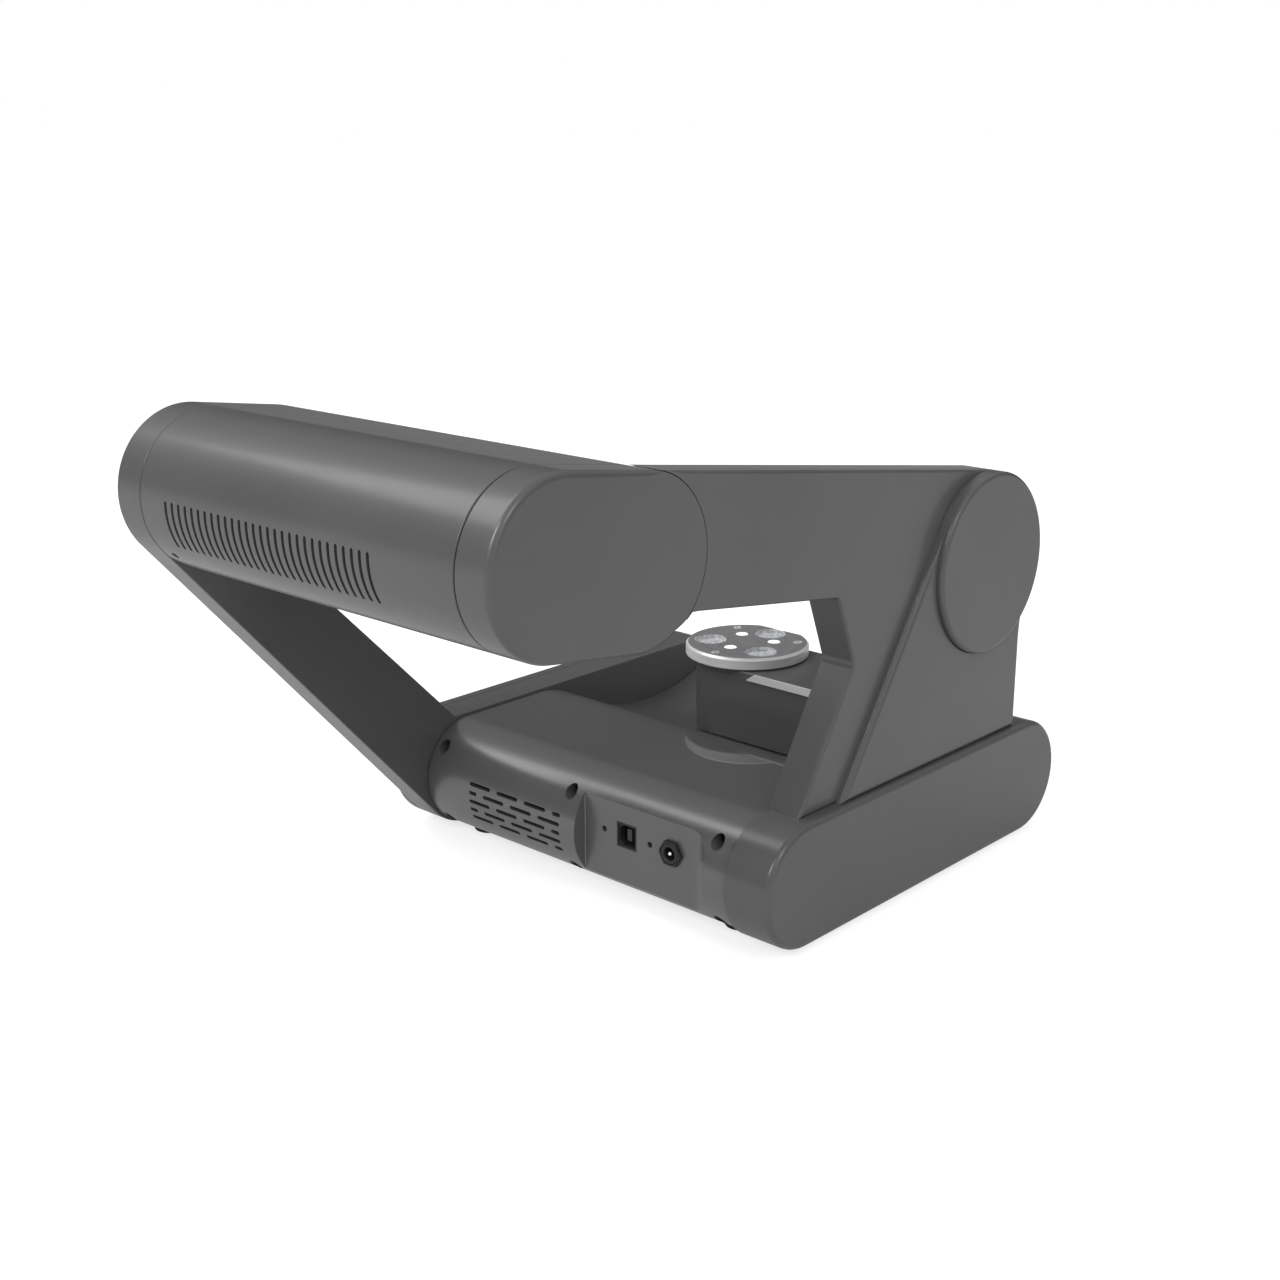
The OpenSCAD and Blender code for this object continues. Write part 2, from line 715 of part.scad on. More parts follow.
// Scan head. Its own frame sits at the middle of the front round, with Z along the line of sight
focus_h = 12;
sight = atan2(head_front[1] - table_top - focus_h, head_front[0] - table_y);
module head_frame() {
    translate([table_x, head_front[0], head_front[1]]) rotate([90 + sight, 0, 0]) children();
}

face_d = 27;
panel_t = 3;
module beyond_face(d) {
    translate(head_front) rotate(180 + sight) translate([d, -2 * head_r]) square([2 * head_r, 4 * head_r]);
}

slot_x0 = -52.5;
slot_pitch = 4.79;
slot_mid = -13.8;
slot_long = 21.9;
module head_slots() {
    for (k = [0 : slot_count - 1])
        translate([slot_x0 + k * slot_pitch - slot_w / 2, head_rear[0], head_rear[1]])
            rotate([slot_mid, 0, 0]) translate([0, head_r - 2 * wall, -slot_long / 2])
                cube([slot_w, 3 * wall, slot_long]);
}

head_screw_x = in_x - screw_in;
head_screw_angle = -43.5;
module head_shell() color(grey) difference() {
    along_x(-in_x + seam, in_x - seam) difference() {
        capsule(head_front, head_r, head_rear, head_r);
        capsule(head_front, head_r - wall, head_rear, head_r - wall);
        beyond_face(face_d - panel_t - fit);
    }
    head_slots();
    translate([head_screw_x, head_rear[0], head_rear[1]]) rotate([head_screw_angle - 90, 0, 0])
        cylinder(head_r + over, r = screw_r + fit, $fn = 24);
}

module head_cap() color(grey) difference() {
    translate([-in_x, 0, 0]) mirror([1, 0, 0])
        rounded_block(head_front, head_rear, head_r, arm_t, cap_fillet);
    along_x(-out_x + 2 * wall, -in_x + over)
        capsule(head_front, head_r - cap_fillet - wall / 2, head_rear, head_r - cap_fillet - wall / 2);
}

module window_frame() color(black) difference() {
    along_x(-in_x + seam, in_x - seam) difference() {
        intersection() {
            capsule(head_front, head_r, head_rear, head_r);
            beyond_face(face_d - panel_t);
        }
        beyond_face(face_d);
    }
    head_frame() translate([-window_w / 2, -window_h / 2, face_d - panel_t - over])
        cube([window_w, window_h, panel_t + 2 * over]);
}

glass_t = 2;
glass_sink = 0.6;
module window_glass() color(glassy) head_frame()
    translate([fit - window_w / 2, fit - window_h / 2, face_d - glass_sink - glass_t])
        cube([window_w - 2 * fit, window_h - 2 * fit, glass_t]);

bench_t = 4;
bench_back = 40;
bench_front = 12;
cam_s = 29;
cam_len = 28;
cam_spread = 60;
cam_lens_r = 9;
cam_lens_len = 17;
lens_wall = 1.5;
bench_z = -cam_s / 2;
module optics_bench() color(alloy) head_frame()
    translate([2 * wall - out_x - table_x, bench_z - bench_t, -bench_back])
        cube([bay_w + arm_t - 2 * wall, bench_t, bench_back + bench_front]);

proj_w = 46;
proj_h = 32;
proj_len = 46;
proj_front = -2;
proj_lens_r = 11;
proj_lens_len = 20;
module projector() color(dark) head_frame()
    translate([-proj_w / 2, bench_z, proj_front - proj_len]) cube([proj_w, proj_h, proj_len]);

// Lens barrel with a dished front, along Z
module lens_barrel(r, l) {
    rotate_extrude() polygon([[0, 0], [r, 0], [r, l - lens_wall], [r - lens_wall, l],
        [r - 2 * lens_wall, l], [r - 3 * lens_wall, l - 2 * lens_wall], [0, l - 2 * lens_wall]]);
}

module projector_lens() color(black) head_frame() translate([0, 0, proj_front])
    lens_barrel(proj_lens_r, proj_lens_len);

// Places the children at each camera, turned in towards the turntable
toe_in = atan2(cam_spread, norm([head_front[0] - table_y, head_front[1] - table_top]));
module each_camera() {
    for (s = [-1, 1]) head_frame() translate([s * cam_spread, 0, 0]) rotate([0, -s * toe_in, 0]) children();
}

module cameras() color(dark) each_camera()
    translate([-cam_s / 2, -cam_s / 2, -cam_len]) cube([cam_s, cam_s, cam_len]);

module camera_lenses() color(black) each_camera() lens_barrel(cam_lens_r, cam_lens_len);

sink_w = 40;
sink_h = 22;
sink_len = 12;
sink_base = 3;
sink_fins = 8;
sink_fin_t = 1.6;
module heat_sink() color(alloy) head_frame() translate([-sink_w / 2, bench_z, proj_front - proj_len]) {
    translate([0, 0, -sink_base]) cube([sink_w, sink_h, sink_base]);
    for (k = [0 : sink_fins - 1])
        translate([k * (sink_w - sink_fin_t) / (sink_fins - 1), 0, -sink_len])
            cube([sink_fin_t, sink_h, sink_len - sink_base + fit]);
}

pcb_t = 1.6;
standoff = 3;
standoff_r = 2;
chip_h = 1.6;
head_board_w = 150;
head_board_len = 36;
module head_board() color(board) head_frame() {
    y = bench_z - bench_t - standoff - pcb_t;
    translate([-head_board_w / 2, y, -bench_back + 2 * standoff])
        cube([head_board_w, pcb_t, head_board_len]);
    for (x = [-1, 1], z = [4 * standoff, head_board_len])
        translate([x * (head_board_w / 2 - 2 * standoff), y + pcb_t, z - bench_back])
            rotate([-90, 0, 0]) cylinder(standoff, r = standoff_r, $fn = 24);
    for (x = [-1, 0, 1]) translate([x * head_board_w / 4 - chip_w / 2, y - chip_h, -bench_back / 2])
        cube([chip_w, chip_h + fit, chip_w]);
}
chip_w = 14;

// Fan behind the cooling slots. Its own frame has Z along its axis, out through the slots
fan_x = 62;
fan_s = 40;
fan_t = 10;
fan_bore = 18.6;
fan_hub_r = 7;
fan_plate = 2;
fan_pin_r = 1.5;
fan_tip_gap = 0.6;
fan_rotor_t = 6;
fan_blades = 7;
fan_blade_t = 1.4;
fan_out = sqrt(pow(head_r - wall - seam, 2) - pow(fan_s / 2, 2));
fan_strut = 2;
module fan_axis() {
    translate([fan_x, head_rear[0], head_rear[1]]) rotate([slot_mid - 90, 0, 0])
        translate([0, 0, fan_out - fan_t]) children();
}

module fan_frame() color(black) fan_axis() {
    difference() {
        translate([-fan_s / 2, -fan_s / 2, 0]) cube([fan_s, fan_s, fan_t]);
        translate([0, 0, -over]) cylinder(fan_t + 2 * over, r = fan_bore);
    }
    cylinder(fan_plate, r = fan_hub_r);
    cylinder(fan_plate + fan_rotor_t, r = fan_pin_r);
    for (a = [45, 165, 285]) rotate(a) translate([0, -fan_strut / 2, 0])
        cube([fan_bore + over, fan_strut, fan_plate]);
}

module fan_rotor() color(dark) fan_axis() translate([0, 0, fan_plate + seam]) difference() {
    union() {
        cylinder(fan_rotor_t, r = fan_hub_r);
        for (k = [0 : fan_blades - 1]) rotate(k * 360 / fan_blades)
            translate([fan_hub_r - over, 0, fan_rotor_t / 2]) rotate([35, 0, 0])
                translate([0, -fan_blade_t / 2, -fan_rotor_t / 2])
                    cube([fan_bore - fan_tip_gap - fan_hub_r, fan_blade_t, fan_rotor_t]);
    }
    translate([0, 0, -over]) cylinder(fan_rotor_t + 2 * over, r = fan_pin_r + run_fit);
}

// Sockets on an upright board behind the recessed flat
usb_len = 16;
usb_wall = 1.3;
usb_tongue = [2.9, 5.8];
usb_mouth = 6;
module usb_socket() color(black) translate([usb_x, panel_y, port_z]) {
    difference() {
        translate([-usb_s / 2, -usb_len, -usb_s / 2]) cube([usb_s, usb_len, usb_s]);
        translate([usb_wall - usb_s / 2, usb_wall - usb_len, usb_wall - usb_s / 2])
            cube([usb_s - 2 * usb_wall, usb_len, usb_s - 2 * usb_wall]);
    }
    translate([-usb_tongue[0] / 2, -usb_len, -usb_tongue[1] / 2])
        cube([usb_tongue[0], usb_len - usb_mouth, usb_tongue[1]]);
}

jack_body_r = 5.2;
jack_len = 16;
jack_floor = 3;
jack_pin_r = 1.1;
nut_r = 6.75;
nut_t = 2.4;
module power_jack() color(black) translate([jack_x, panel_y - jack_len, port_z]) rotate([-90, 0, 0]) {
    difference() {
        cylinder(jack_len + nut_t, r = jack_body_r);
        translate([0, 0, jack_floor]) cylinder(jack_len + nut_t, r = jack_r);
    }
    cylinder(jack_len, r = jack_pin_r, $fn = 24);
}

module jack_nut() color(dark) translate([jack_x, panel_y, port_z]) rotate([-90, 0, 0]) difference() {
    cylinder(nut_t, r = nut_r, $fn = 6);
    translate([0, 0, -over]) cylinder(nut_t + 2 * over, r = jack_body_r);
}

light_len = 16;
light_sink = 0.8;
module status_lights() color([0.75, 0.9, 0.8]) for (x = light_xs)
    translate([x, panel_y - light_len, port_z]) rotate([-90, 0, 0])
        cylinder(light_len - light_sink, r = light_r, $fn = 24);

port_board_h = 30;
port_board_margin = 8;
module port_board() color(board)
    translate([jack_x - port_board_margin, panel_y - usb_len - pcb_t, port_z - port_board_h / 2])
        cube([light_xs[0] - jack_x + 2 * port_board_margin, pcb_t, port_board_h]);

ctrl_w = 110;
ctrl_len = 50;
ctrl_x = -30;
ctrl_fore = 67.2;
ctrl_y = mid_rear[0] - ctrl_fore;
ctrl_lift = 4;
module control_board() color(board) {
    z = belly_z + plate_t;
    translate([ctrl_x, ctrl_y, z + ctrl_lift]) cube([ctrl_w, ctrl_len, pcb_t]);
    for (x = [ctrl_lift, ctrl_w - ctrl_lift], y = [ctrl_lift, ctrl_len - ctrl_lift])
        translate([ctrl_x + x, ctrl_y + y, z]) cylinder(ctrl_lift, r = standoff_r, $fn = 24);
    for (k = [0 : 2])
        translate([ctrl_x + (k + 0.5) * ctrl_w / 3 - chip_w / 2, ctrl_y + ctrl_len / 3,
            z + ctrl_lift + pcb_t - fit]) cube([chip_w, chip_w, chip_h + k * chip_h]);
}

base_shell();
base_plate();
rear_bracket();
rubber_pads();
near_foot();
near_gusset();
near_arm();
near_arm_liner();
far_arm();
far_arm_liner();
far_foot_cover();
hub_cover();
bearing_block();
swing_bearings();
swing_motor();
drive_pulley();
swing_belt();
swing_shaft();
swing_pulley();
swing_link();
swing_box();
swing_lid();
trim_strip();
table_motor();
table_bearing();
table_spindle();
turntable();
table_magnets();
table_screws();
head_shell();
head_cap();
window_frame();
window_glass();
optics_bench();
projector();
projector_lens();
cameras();
camera_lenses();
heat_sink();
head_board();
fan_frame();
fan_rotor();
usb_socket();
power_jack();
jack_nut();
status_lights();
port_board();
control_board();
base_screws();
pad_screws();
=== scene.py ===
import math

import bmesh
import bpy
import numpy as np
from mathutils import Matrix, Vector


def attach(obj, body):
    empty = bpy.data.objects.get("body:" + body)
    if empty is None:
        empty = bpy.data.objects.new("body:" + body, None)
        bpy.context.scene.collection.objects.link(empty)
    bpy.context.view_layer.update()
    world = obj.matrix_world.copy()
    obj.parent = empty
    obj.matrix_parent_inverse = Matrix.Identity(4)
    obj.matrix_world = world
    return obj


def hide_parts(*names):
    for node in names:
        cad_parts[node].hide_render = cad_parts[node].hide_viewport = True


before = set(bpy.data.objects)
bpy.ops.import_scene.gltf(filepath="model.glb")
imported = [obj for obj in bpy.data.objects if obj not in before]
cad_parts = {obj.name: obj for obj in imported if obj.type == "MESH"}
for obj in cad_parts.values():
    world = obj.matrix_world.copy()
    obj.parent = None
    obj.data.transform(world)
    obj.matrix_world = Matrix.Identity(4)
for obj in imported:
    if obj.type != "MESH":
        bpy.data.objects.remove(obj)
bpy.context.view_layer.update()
mm = 0.001


class measures(dict):
    # a dictionary whose values are also read by name: s.rim is s["rim"]
    __getattr__ = dict.__getitem__


def put(name, data, at=(0, 0, 0), along=None):
    # a new object: a piece stays at the origin, the camera and lamps look along a direction
    thing = bpy.data.objects.new(name, data)
    thing.location = at
    if along is not None:
        thing.rotation_euler = Vector(along).to_track_quat("-Z", "Y").to_euler()
    bpy.context.collection.objects.link(thing)
    return thing


# Camera, solved from the photograph: it stands behind the scanner on its hub side
cameraSet = measures(
    place=(-0.5635, 0.6065, 0.3654), looks=(0.6467, -0.7073, -0.2855), lens=49.81, sensor=36.0,
    farthest=20,
)
cameraData = bpy.data.cameras.new("camera")
cameraData.lens = cameraSet.lens
cameraData.sensor_width = cameraSet.sensor
cameraData.clip_end = cameraSet.farthest
bpy.context.scene.camera = put("camera", cameraData, cameraSet.place, cameraSet.looks)


def add(tree, kind, settings=None, **inputs):
    # adds a node, sets its options, and links or fills its inputs; i0 is the first input
    node = tree.nodes.new("ShaderNode" + kind)
    for key, value in (settings or {}).items():
        setattr(node, key, value)
    for key, value in inputs.items():
        socket = node.inputs[int(key[1:]) if key[1:].isdigit() else key.replace("_", " ")]
        if isinstance(value, bpy.types.NodeSocket):
            tree.links.new(value, socket)
        else:
            socket.default_value = value
    return node


def newMaterial(name, colour, rough, plain):
    # a material whose plain values sit on the shader's own sockets
    material = bpy.data.materials.new(name)
    material.use_nodes = True
    shader = material.node_tree.nodes["Principled BSDF"]
    for key, value in {"Base Color": (*colour, 1), "Roughness": rough, **plain}.items():
        shader.inputs[key].default_value = value
    return material, material.node_tree, shader


# Studio: a pale floor, a white backdrop for the camera and soft boxes round the object
studio = measures(
    floorSize=60.0, floorColour=(0.42, 0.42, 0.42), floorRough=0.9, floorShine=0.1,
    floorSeenGlow=0.72, floorGlow=0.16,
    skySeen=1.0, skyDiffuse=0.9, skyMirrored=0.33, skyMirroredLow=0.07, dimFrom=0.7, dimTo=0.32,
    boxes=[
        ("keyBox", (-2.2, 0.9, 1.2), 1.6, 5.2),
        ("rearBox", (0.2, 2.3, 1.9), 1.0, 28.0),
        ("topBox", (1.1, 0.7, 1.7), 1.1, 11.0),
        ("glintBox", (-1.74, 0.63, 1.8), 0.7, 7.0),
    ],
    aim=(0.0, 0.0, 0.12),
)


def makeStudio(s):
    # a floor that glows for the camera, a world of three mixed backgrounds, and lamps aimed at s.aim
    half = s.floorSize / 2
    ground = bpy.data.meshes.new("floor")
    ground.from_pydata([(-half, -half, 0), (half, -half, 0), (half, half, 0), (-half, half, 0)], [], [(0, 1, 2, 3)])
    paint, tree, shader = newMaterial("floorPaint", s.floorColour, s.floorRough,
        {"Specular IOR Level": s.floorShine, "Emission Color": (1, 1, 1, 1)})
    glow = add(tree, "MapRange", Value=add(tree, "LightPath").outputs["Is Camera Ray"],
        To_Min=s.floorGlow, To_Max=s.floorSeenGlow)
    tree.links.new(glow.outputs[0], shader.inputs["Emission Strength"])
    ground.materials.append(paint)
    put("floor", ground)

    world = bpy.data.worlds.new("studio")
    bpy.context.scene.world = world
    world.use_nodes = True
    tree = world.node_tree
    tree.nodes.clear()
    path = add(tree, "LightPath")
    last = None
    for key, rays in (("skyDiffuse", None), ("skyMirrored", "Is Glossy Ray"), ("skySeen", "Is Camera Ray")):
        strength = s[key]
        if key == "skyMirrored":
            # what the casing mirrors is dimmer towards the horizon
            parts = add(tree, "SeparateXYZ", i0=add(tree, "TexCoord").outputs["Generated"])
            strength = add(tree, "MapRange", Value=parts.outputs["Z"], From_Min=s.dimTo, From_Max=s.dimFrom,
                To_Min=s.skyMirroredLow, To_Max=s[key]).outputs[0]
        sky = add(tree, "Background", Color=(1, 1, 1, 1), Strength=strength)
        if rays:
            sky = add(tree, "MixShader", i0=path.outputs[rays], i1=last, i2=sky.outputs[0])
        last = sky.outputs[0]
    add(tree, "OutputWorld", Surface=last)
    bpy.context.scene.view_settings.view_transform = "Standard"

    for name, at, size, power in s.boxes:
        lamp = bpy.data.lights.new(name, "AREA")
        lamp.shape = "SQUARE"
        lamp.size = size
        lamp.energy = power
        put(name, lamp, at, Vector(s.aim) - Vector(at))


makeStudio(studio)
print("studio and camera ready")


# Shapes: all lengths below are millimetres in the frame of the CAD

def unit(v):
    # v divided by its length
    return v / np.linalg.norm(v)


def leftOf(v):
    # the direction a quarter turn to the left of v
    return np.array([-v[1], v[0]])


def towards(degrees):
    # the direction (cos, sin) of an angle
    a = math.radians(degrees)
    return np.array([math.cos(a), math.sin(a)])


def angleOf(v):
    # the angle of v, atan2(y, x), in degrees
    return math.degrees(math.atan2(v[1], v[0]))


def polar(centre, radius, degrees):
    # point on a circle: centre + radius * (cos, sin)
    a = np.radians(degrees)
    return np.array(centre) + radius * np.array([np.cos(a), np.sin(a)])


def arc(centre, radius, start, end, step=3.0):
    # points on a circle at even angles from start to end, in degrees
    count = max(2, int(math.ceil(abs(end - start) / step)) + 1)
    a = np.radians(np.linspace(start, end, count))
    return np.array(centre) + radius * np.stack([np.cos(a), np.sin(a)], 1)


def circle(centre, radius, step):
    # a whole circle, whose last point isn't the first again
    return arc(centre, radius, 0, 360 - step, step)


def tangentLine(a, ra, b, rb, side):
    # line that touches both circles, on the left of a to b for side 1
    a, b = np.array(a, float), np.array(b, float)
    d = b - a
    length = np.linalg.norm(d)
    u = d / length
    k = (ra - rb) / length
    m = k * u + math.sqrt(1 - k * k) * (side * leftOf(u))
    return a + ra * m, b + rb * m


def lineCircle(p, u, centre, r, side):
    # where the line p + t u meets a circle, the later crossing for side 1
    w = p - centre
    b = w @ u
    return p + (-b + side * math.sqrt(b * b - w @ w + r * r)) * u


def tidied(points, gap=0.02):
    # drops points that fall on the one before
    return points[np.linalg.norm(points - np.roll(points, 1, 0), axis=1) > gap]


def holdFlats(points, near=1.0, least=5.0):
    # adds a point close to each end of a long edge, so that a rounding's shading stops there
    nxt = np.roll(points, -1, 0)
    length = np.linalg.norm(nxt - points, axis=1)
    out = []
    for p, q, l in zip(points, nxt, length):
        out.append(p)
        if l > least:
            out += [p + (q - p) * near / l, q - (q - p) * near / l]
    return np.array(out)


def capsule(a, b, ra, step=3.0, rb=None):
    # two circles joined by their outer tangents, counter-clockwise; the second as large as the first, or rb
    a, b = np.array(a, float), np.array(b, float)
    rb = ra if rb is None else rb
    turn = angleOf(b - a)
    lean = math.degrees(math.acos((ra - rb) / np.linalg.norm(b - a)))
    return tidied(np.vstack([arc(a, ra, turn + lean, turn + 360 - lean, step),
        arc(b, rb, turn - lean, turn + lean, step)]))


def rounded(corners, radii, step=6.0):
    # polygon whose corners are arcs that touch both edges; one radius for all corners, or one for each
    corners = [np.array(c, float) for c in corners]
    out = []
    for i, (p, r) in enumerate(zip(corners, np.broadcast_to(radii, len(corners)))):
        if r <= 0:
            out.append(p)
            continue
        before, after = unit(corners[i - 1] - p), unit(corners[(i + 1) % len(corners)] - p)
        half = math.acos(np.clip(before @ after, -1, 1)) / 2
        reach = r / math.tan(half)
        centre = p + unit(before + after) * r / math.sin(half)
        start = angleOf(p + before * reach - centre)
        span = (angleOf(p + after * reach - centre) - start + 180) % 360 - 180
        out.extend(arc(centre, r, start, start + span, step))
    return tidied(np.array(out))


def inset(points, d):
    # moves every edge of a counter-clockwise outline inwards by d, along m and n, the normals before and after a point
    m, n = (np.stack([-e[:, 1], e[:, 0]], 1) / np.linalg.norm(e, axis=1)[:, None]
        for e in (points - np.roll(points, 1, 0), np.roll(points, -1, 0) - points))
    return points + (np.broadcast_to(d, len(points)) / (1 + np.sum(m * n, 1)))[:, None] * (m + n)


def onSameRays(centre, outlines):
    # outlines around one centre, each cut anew by the rays through the points of all of them
    around = [np.array(o) - centre for o in outlines]
    turns = [np.arctan2(o[:, 1], o[:, 0]) % (2 * np.pi) for o in around]
    rays = np.unique(np.round(np.concatenate(turns), 4))
    d = np.stack([np.cos(rays), np.sin(rays)], 1)
    out = []
    for o, turn in zip(around, turns):
        a = o[np.argsort(turn)]
        k = np.searchsorted(np.sort(turn), rays, "right") - 1
        a, e = a[k], a[(k + 1) % len(a)] - a[k]
        along = (a[:, 0] * e[:, 1] - a[:, 1] * e[:, 0]) / (d[:, 0] * e[:, 1] - d[:, 1] * e[:, 0])
        out.append(centre + d * along[:, None])
    return out


def loft(name, rings, closed=False):
    # quads between rings with the same number of points, and caps, or where closed back to the first ring;
    # a mesh object at the origin, its place in its vertices, faces turned outwards
    count, size = len(rings), len(rings[0])
    i = np.arange(size)
    j = (i + 1) % size
    faces = []
    for k in range(count if closed else count - 1):
        a, b = k * size, ((k + 1) % count) * size
        faces += np.stack([a + i, a + j, b + j, b + i], 1).tolist()
    if not closed:
        faces += [list(range(size))[::-1], list(range((count - 1) * size, count * size))]
    mesh = bpy.data.meshes.new(name)
    mesh.from_pydata((np.vstack(rings) * mm).tolist(), [], faces)
    bm = bmesh.new()
    bm.from_mesh(mesh)
    bmesh.ops.remove_doubles(bm, verts=bm.verts, dist=1e-7)
    bmesh.ops.dissolve_degenerate(bm, edges=bm.edges, dist=1e-7)
    bmesh.ops.recalc_face_normals(bm, faces=bm.faces)
    bm.to_mesh(mesh)
    bm.free()
    return put(name, mesh)


onX, onY, onZ = range(3)


def layOn(axis, v, points):
    # places an outline across an axis at v, as one drawn in Y and Z at x = v
    return np.insert(np.asarray(points, float), axis, v, axis=1)


def sweep(name, outline, low, high, roundLow=0.0, roundHigh=0.0, onto=onX, steps=5, share=1.0, cut=()):
    # an outline carried along one axis; towards each end it draws in along a quarter circle, whose radius
    # is taken by the share given for each point; what is in cut is taken out of it
    rings = []
    share = np.broadcast_to(share, len(outline))
    for end, r, sign in ((low, roundLow, 1), (high, roundHigh, -1)):
        side = []
        for a in np.radians(np.linspace(0, 90, steps + 1)) if r > 0 else [math.pi / 2]:
            inward = r * (1 - math.sin(a))
            ring = outline if inward < 1e-6 else inset(outline, inward * share)
            side.append(layOn(onto, end + sign * r * (1 - math.cos(a)) * share, ring))
        rings += side if sign == 1 else side[::-1]
    return cutAway(loft(name, rings), *cut) if cut else loft(name, rings)


def shareBeside(outline, other, reach):
    # share of a rounding for each point: next to nothing beside the other outline, all of it further off
    gap = np.min(np.linalg.norm(outline[:, None] - other[None], axis=2), axis=1)
    return np.clip((gap - seam) / reach, 0.06, 1)


upright = ((1, 0, 0), (0, 1, 0), (0, 0, 1))
rearwards = ((1, 0, 0), (0, 0, 1), (0, 1, 0))


def lathe(name, profile, centre, axes=upright, segments=64):
    # a profile of radius and height turned round the last of three axes through the centre
    centre, first, second, axis = [np.array(v, float) for v in (centre, *axes)]
    a = np.linspace(0, 2 * np.pi, segments, endpoint=False)
    ringDir = np.outer(np.cos(a), first) + np.outer(np.sin(a), second)
    return loft(name, [centre + max(r, 1e-4) * ringDir + h * axis for r, h in profile])


def bar(outline, low, high, onto=onX, cut=()):
    # a plain prism, to be taken out of a piece
    return sweep("cutter", outline, low, high, onto=onto, cut=cut)


def boxAt(low, high):
    # a box from its lowest corner to its highest
    x0, y0, z0 = low
    x1, y1, z1 = high
    return bar(np.array([[x0, y0], [x1, y0], [x1, y1], [x0, y1]]), z0, z1, onZ)


def rodY(x, z, r, y0, y1, segments=32):
    # a round rod along Y, at x and z
    return bar(arc((x, z), r, 0, 360 * (1 - 1 / segments), 360 / segments), y0, y1, onY)


def cutAway(piece, *cutters):
    # takes the cutters out of the piece, one after another, and removes them
    for cutter in cutters:
        step = piece.modifiers.new("cut", "BOOLEAN")
        step.operation = "DIFFERENCE"
        step.solver = "EXACT"
        step.object = cutter
    bpy.context.view_layer.update()
    result = bpy.data.meshes.new_from_object(piece.evaluated_get(bpy.context.evaluated_depsgraph_get()))
    piece.modifiers.clear()
    piece.data = result
    for cutter in cutters:
        bpy.data.objects.remove(cutter)
    return piece


def joined(name, pieces):
    # puts several meshes into one object
    bm = bmesh.new()
    for piece in pieces:
        bm.from_mesh(piece.data)
    mesh = bpy.data.meshes.new(name)
    bm.to_mesh(mesh)
    bm.free()
    for piece in pieces:
        bpy.data.objects.remove(piece)
    return put(name, mesh)


# Edges turned by more than these angles are sharp, or softened
lastStep = measures(sharp=32, soften=35, flatWeight=90)


def dress(piece, coat, *nodes, body="frame", slot=None, edge=0.0):
    # smooth shading, finish, body, and the nodes it stands for; the slot argument is not used
    mesh = piece.data
    mesh.materials.clear()
    mesh.materials.append(finish[coat])
    mesh.shade_smooth()
    mesh.set_sharp_from_angle(angle=math.radians(lastStep.sharp))
    if edge > 0:
        # only for plain pieces: beside edges shorter than its width a bevel would fold the faces over
        soft = piece.modifiers.new("softEdges", "BEVEL")
        soft.width = edge * mm
        soft.segments = 2
        soft.limit_method = "ANGLE"
        soft.angle_limit = math.radians(lastStep.soften)
        soft.use_clamp_overlap = False
    weighted = piece.modifiers.new("flatNormals", "WEIGHTED_NORMAL")
    weighted.keep_sharp = True
    weighted.weight = lastStep.flatWeight
    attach(piece, body)
    if nodes:
        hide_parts(*nodes)
    return piece


def dressSecond(piece, coat, where):
    # gives another finish to the faces whose middle, in millimetres, and normal answer to where
    piece.data.materials.append(finish[coat])
    for face in piece.data.polygons:
        face.material_index = int(where(np.array(face.center) / mm, face.normal))


# Finishes: groups give heights and masks, the shader's own sockets hold the plain values

def math2(tree, how, a, b=0.0):
    # a Math node on two values
    return add(tree, "Math", {"operation": how}, i0=a, i1=b).outputs[0]


def noise(tree, vector, scale, detail, roughness=0.5, distortion=0.0):
    # fractal noise, mostly between 0.3 and 0.7
    return add(tree, "TexNoise", Vector=vector, Scale=scale, Detail=detail, Roughness=roughness,
        Distortion=distortion).outputs["Fac"]


def newGroup(name, inputs, build):
    # a node group on Vector, with float and vector inputs, and the float outputs that build gives
    group = bpy.data.node_groups.new(name, "ShaderNodeTree")
    for label, value in {"Vector": (0, 0, 0), **inputs}.items():
        kind = "NodeSocketFloat" if isinstance(value, float) else "NodeSocketVector"
        group.interface.new_socket(label, in_out="INPUT", socket_type=kind).default_value = value
    given = group.nodes.new("NodeGroupInput").outputs
    results = build(group, *[given[label] for label in ("Vector", *inputs)])
    for label in results:
        group.interface.new_socket(label, in_out="OUTPUT", socket_type="NodeSocketFloat")
    out = group.nodes.new("NodeGroupOutput")
    for label, source in results.items():
        group.links.new(source, out.inputs[label])
    return group


def skin(tree, at, grain, waviness):
    # moulded skin: fine grain of a mould, a slow waviness of the wall, and faint handling marks
    wave = noise(tree, at, waviness, 1.0)
    height = math2(tree, "ADD", noise(tree, at, grain, 2.0, 0.6), math2(tree, "MULTIPLY", wave, 6.0))
    return {"Height": height, "Marks": noise(tree, at, 38.0, 5.0, 0.62, 0.8), "Shade": wave}


def turned(tree, at, centre, density):
    # turned metal: rings round an axis through Centre, and lines along the rim
    off = add(tree, "VectorMath", {"operation": "SUBTRACT"}, i0=at, i1=centre)
    x, y, z = add(tree, "SeparateXYZ", Vector=off.outputs[0]).outputs
    radius = math2(tree, "SQRT", math2(tree, "ADD", math2(tree, "MULTIPLY", x, x), math2(tree, "MULTIPLY", y, y)))
    around = math2(tree, "MULTIPLY", math2(tree, "ARCTAN2", y, x), 0.0004)
    way = add(tree, "CombineXYZ", X=radius, Y=z, Z=around).outputs[0]
    lines, broad = noise(tree, way, density, 3.0, 0.7), noise(tree, way, 420.0, 2.0)
    tone = math2(tree, "ADD", math2(tree, "MULTIPLY", lines, 0.6), math2(tree, "MULTIPLY", broad, 0.4))
    return {"Height": lines, "Tone": tone}


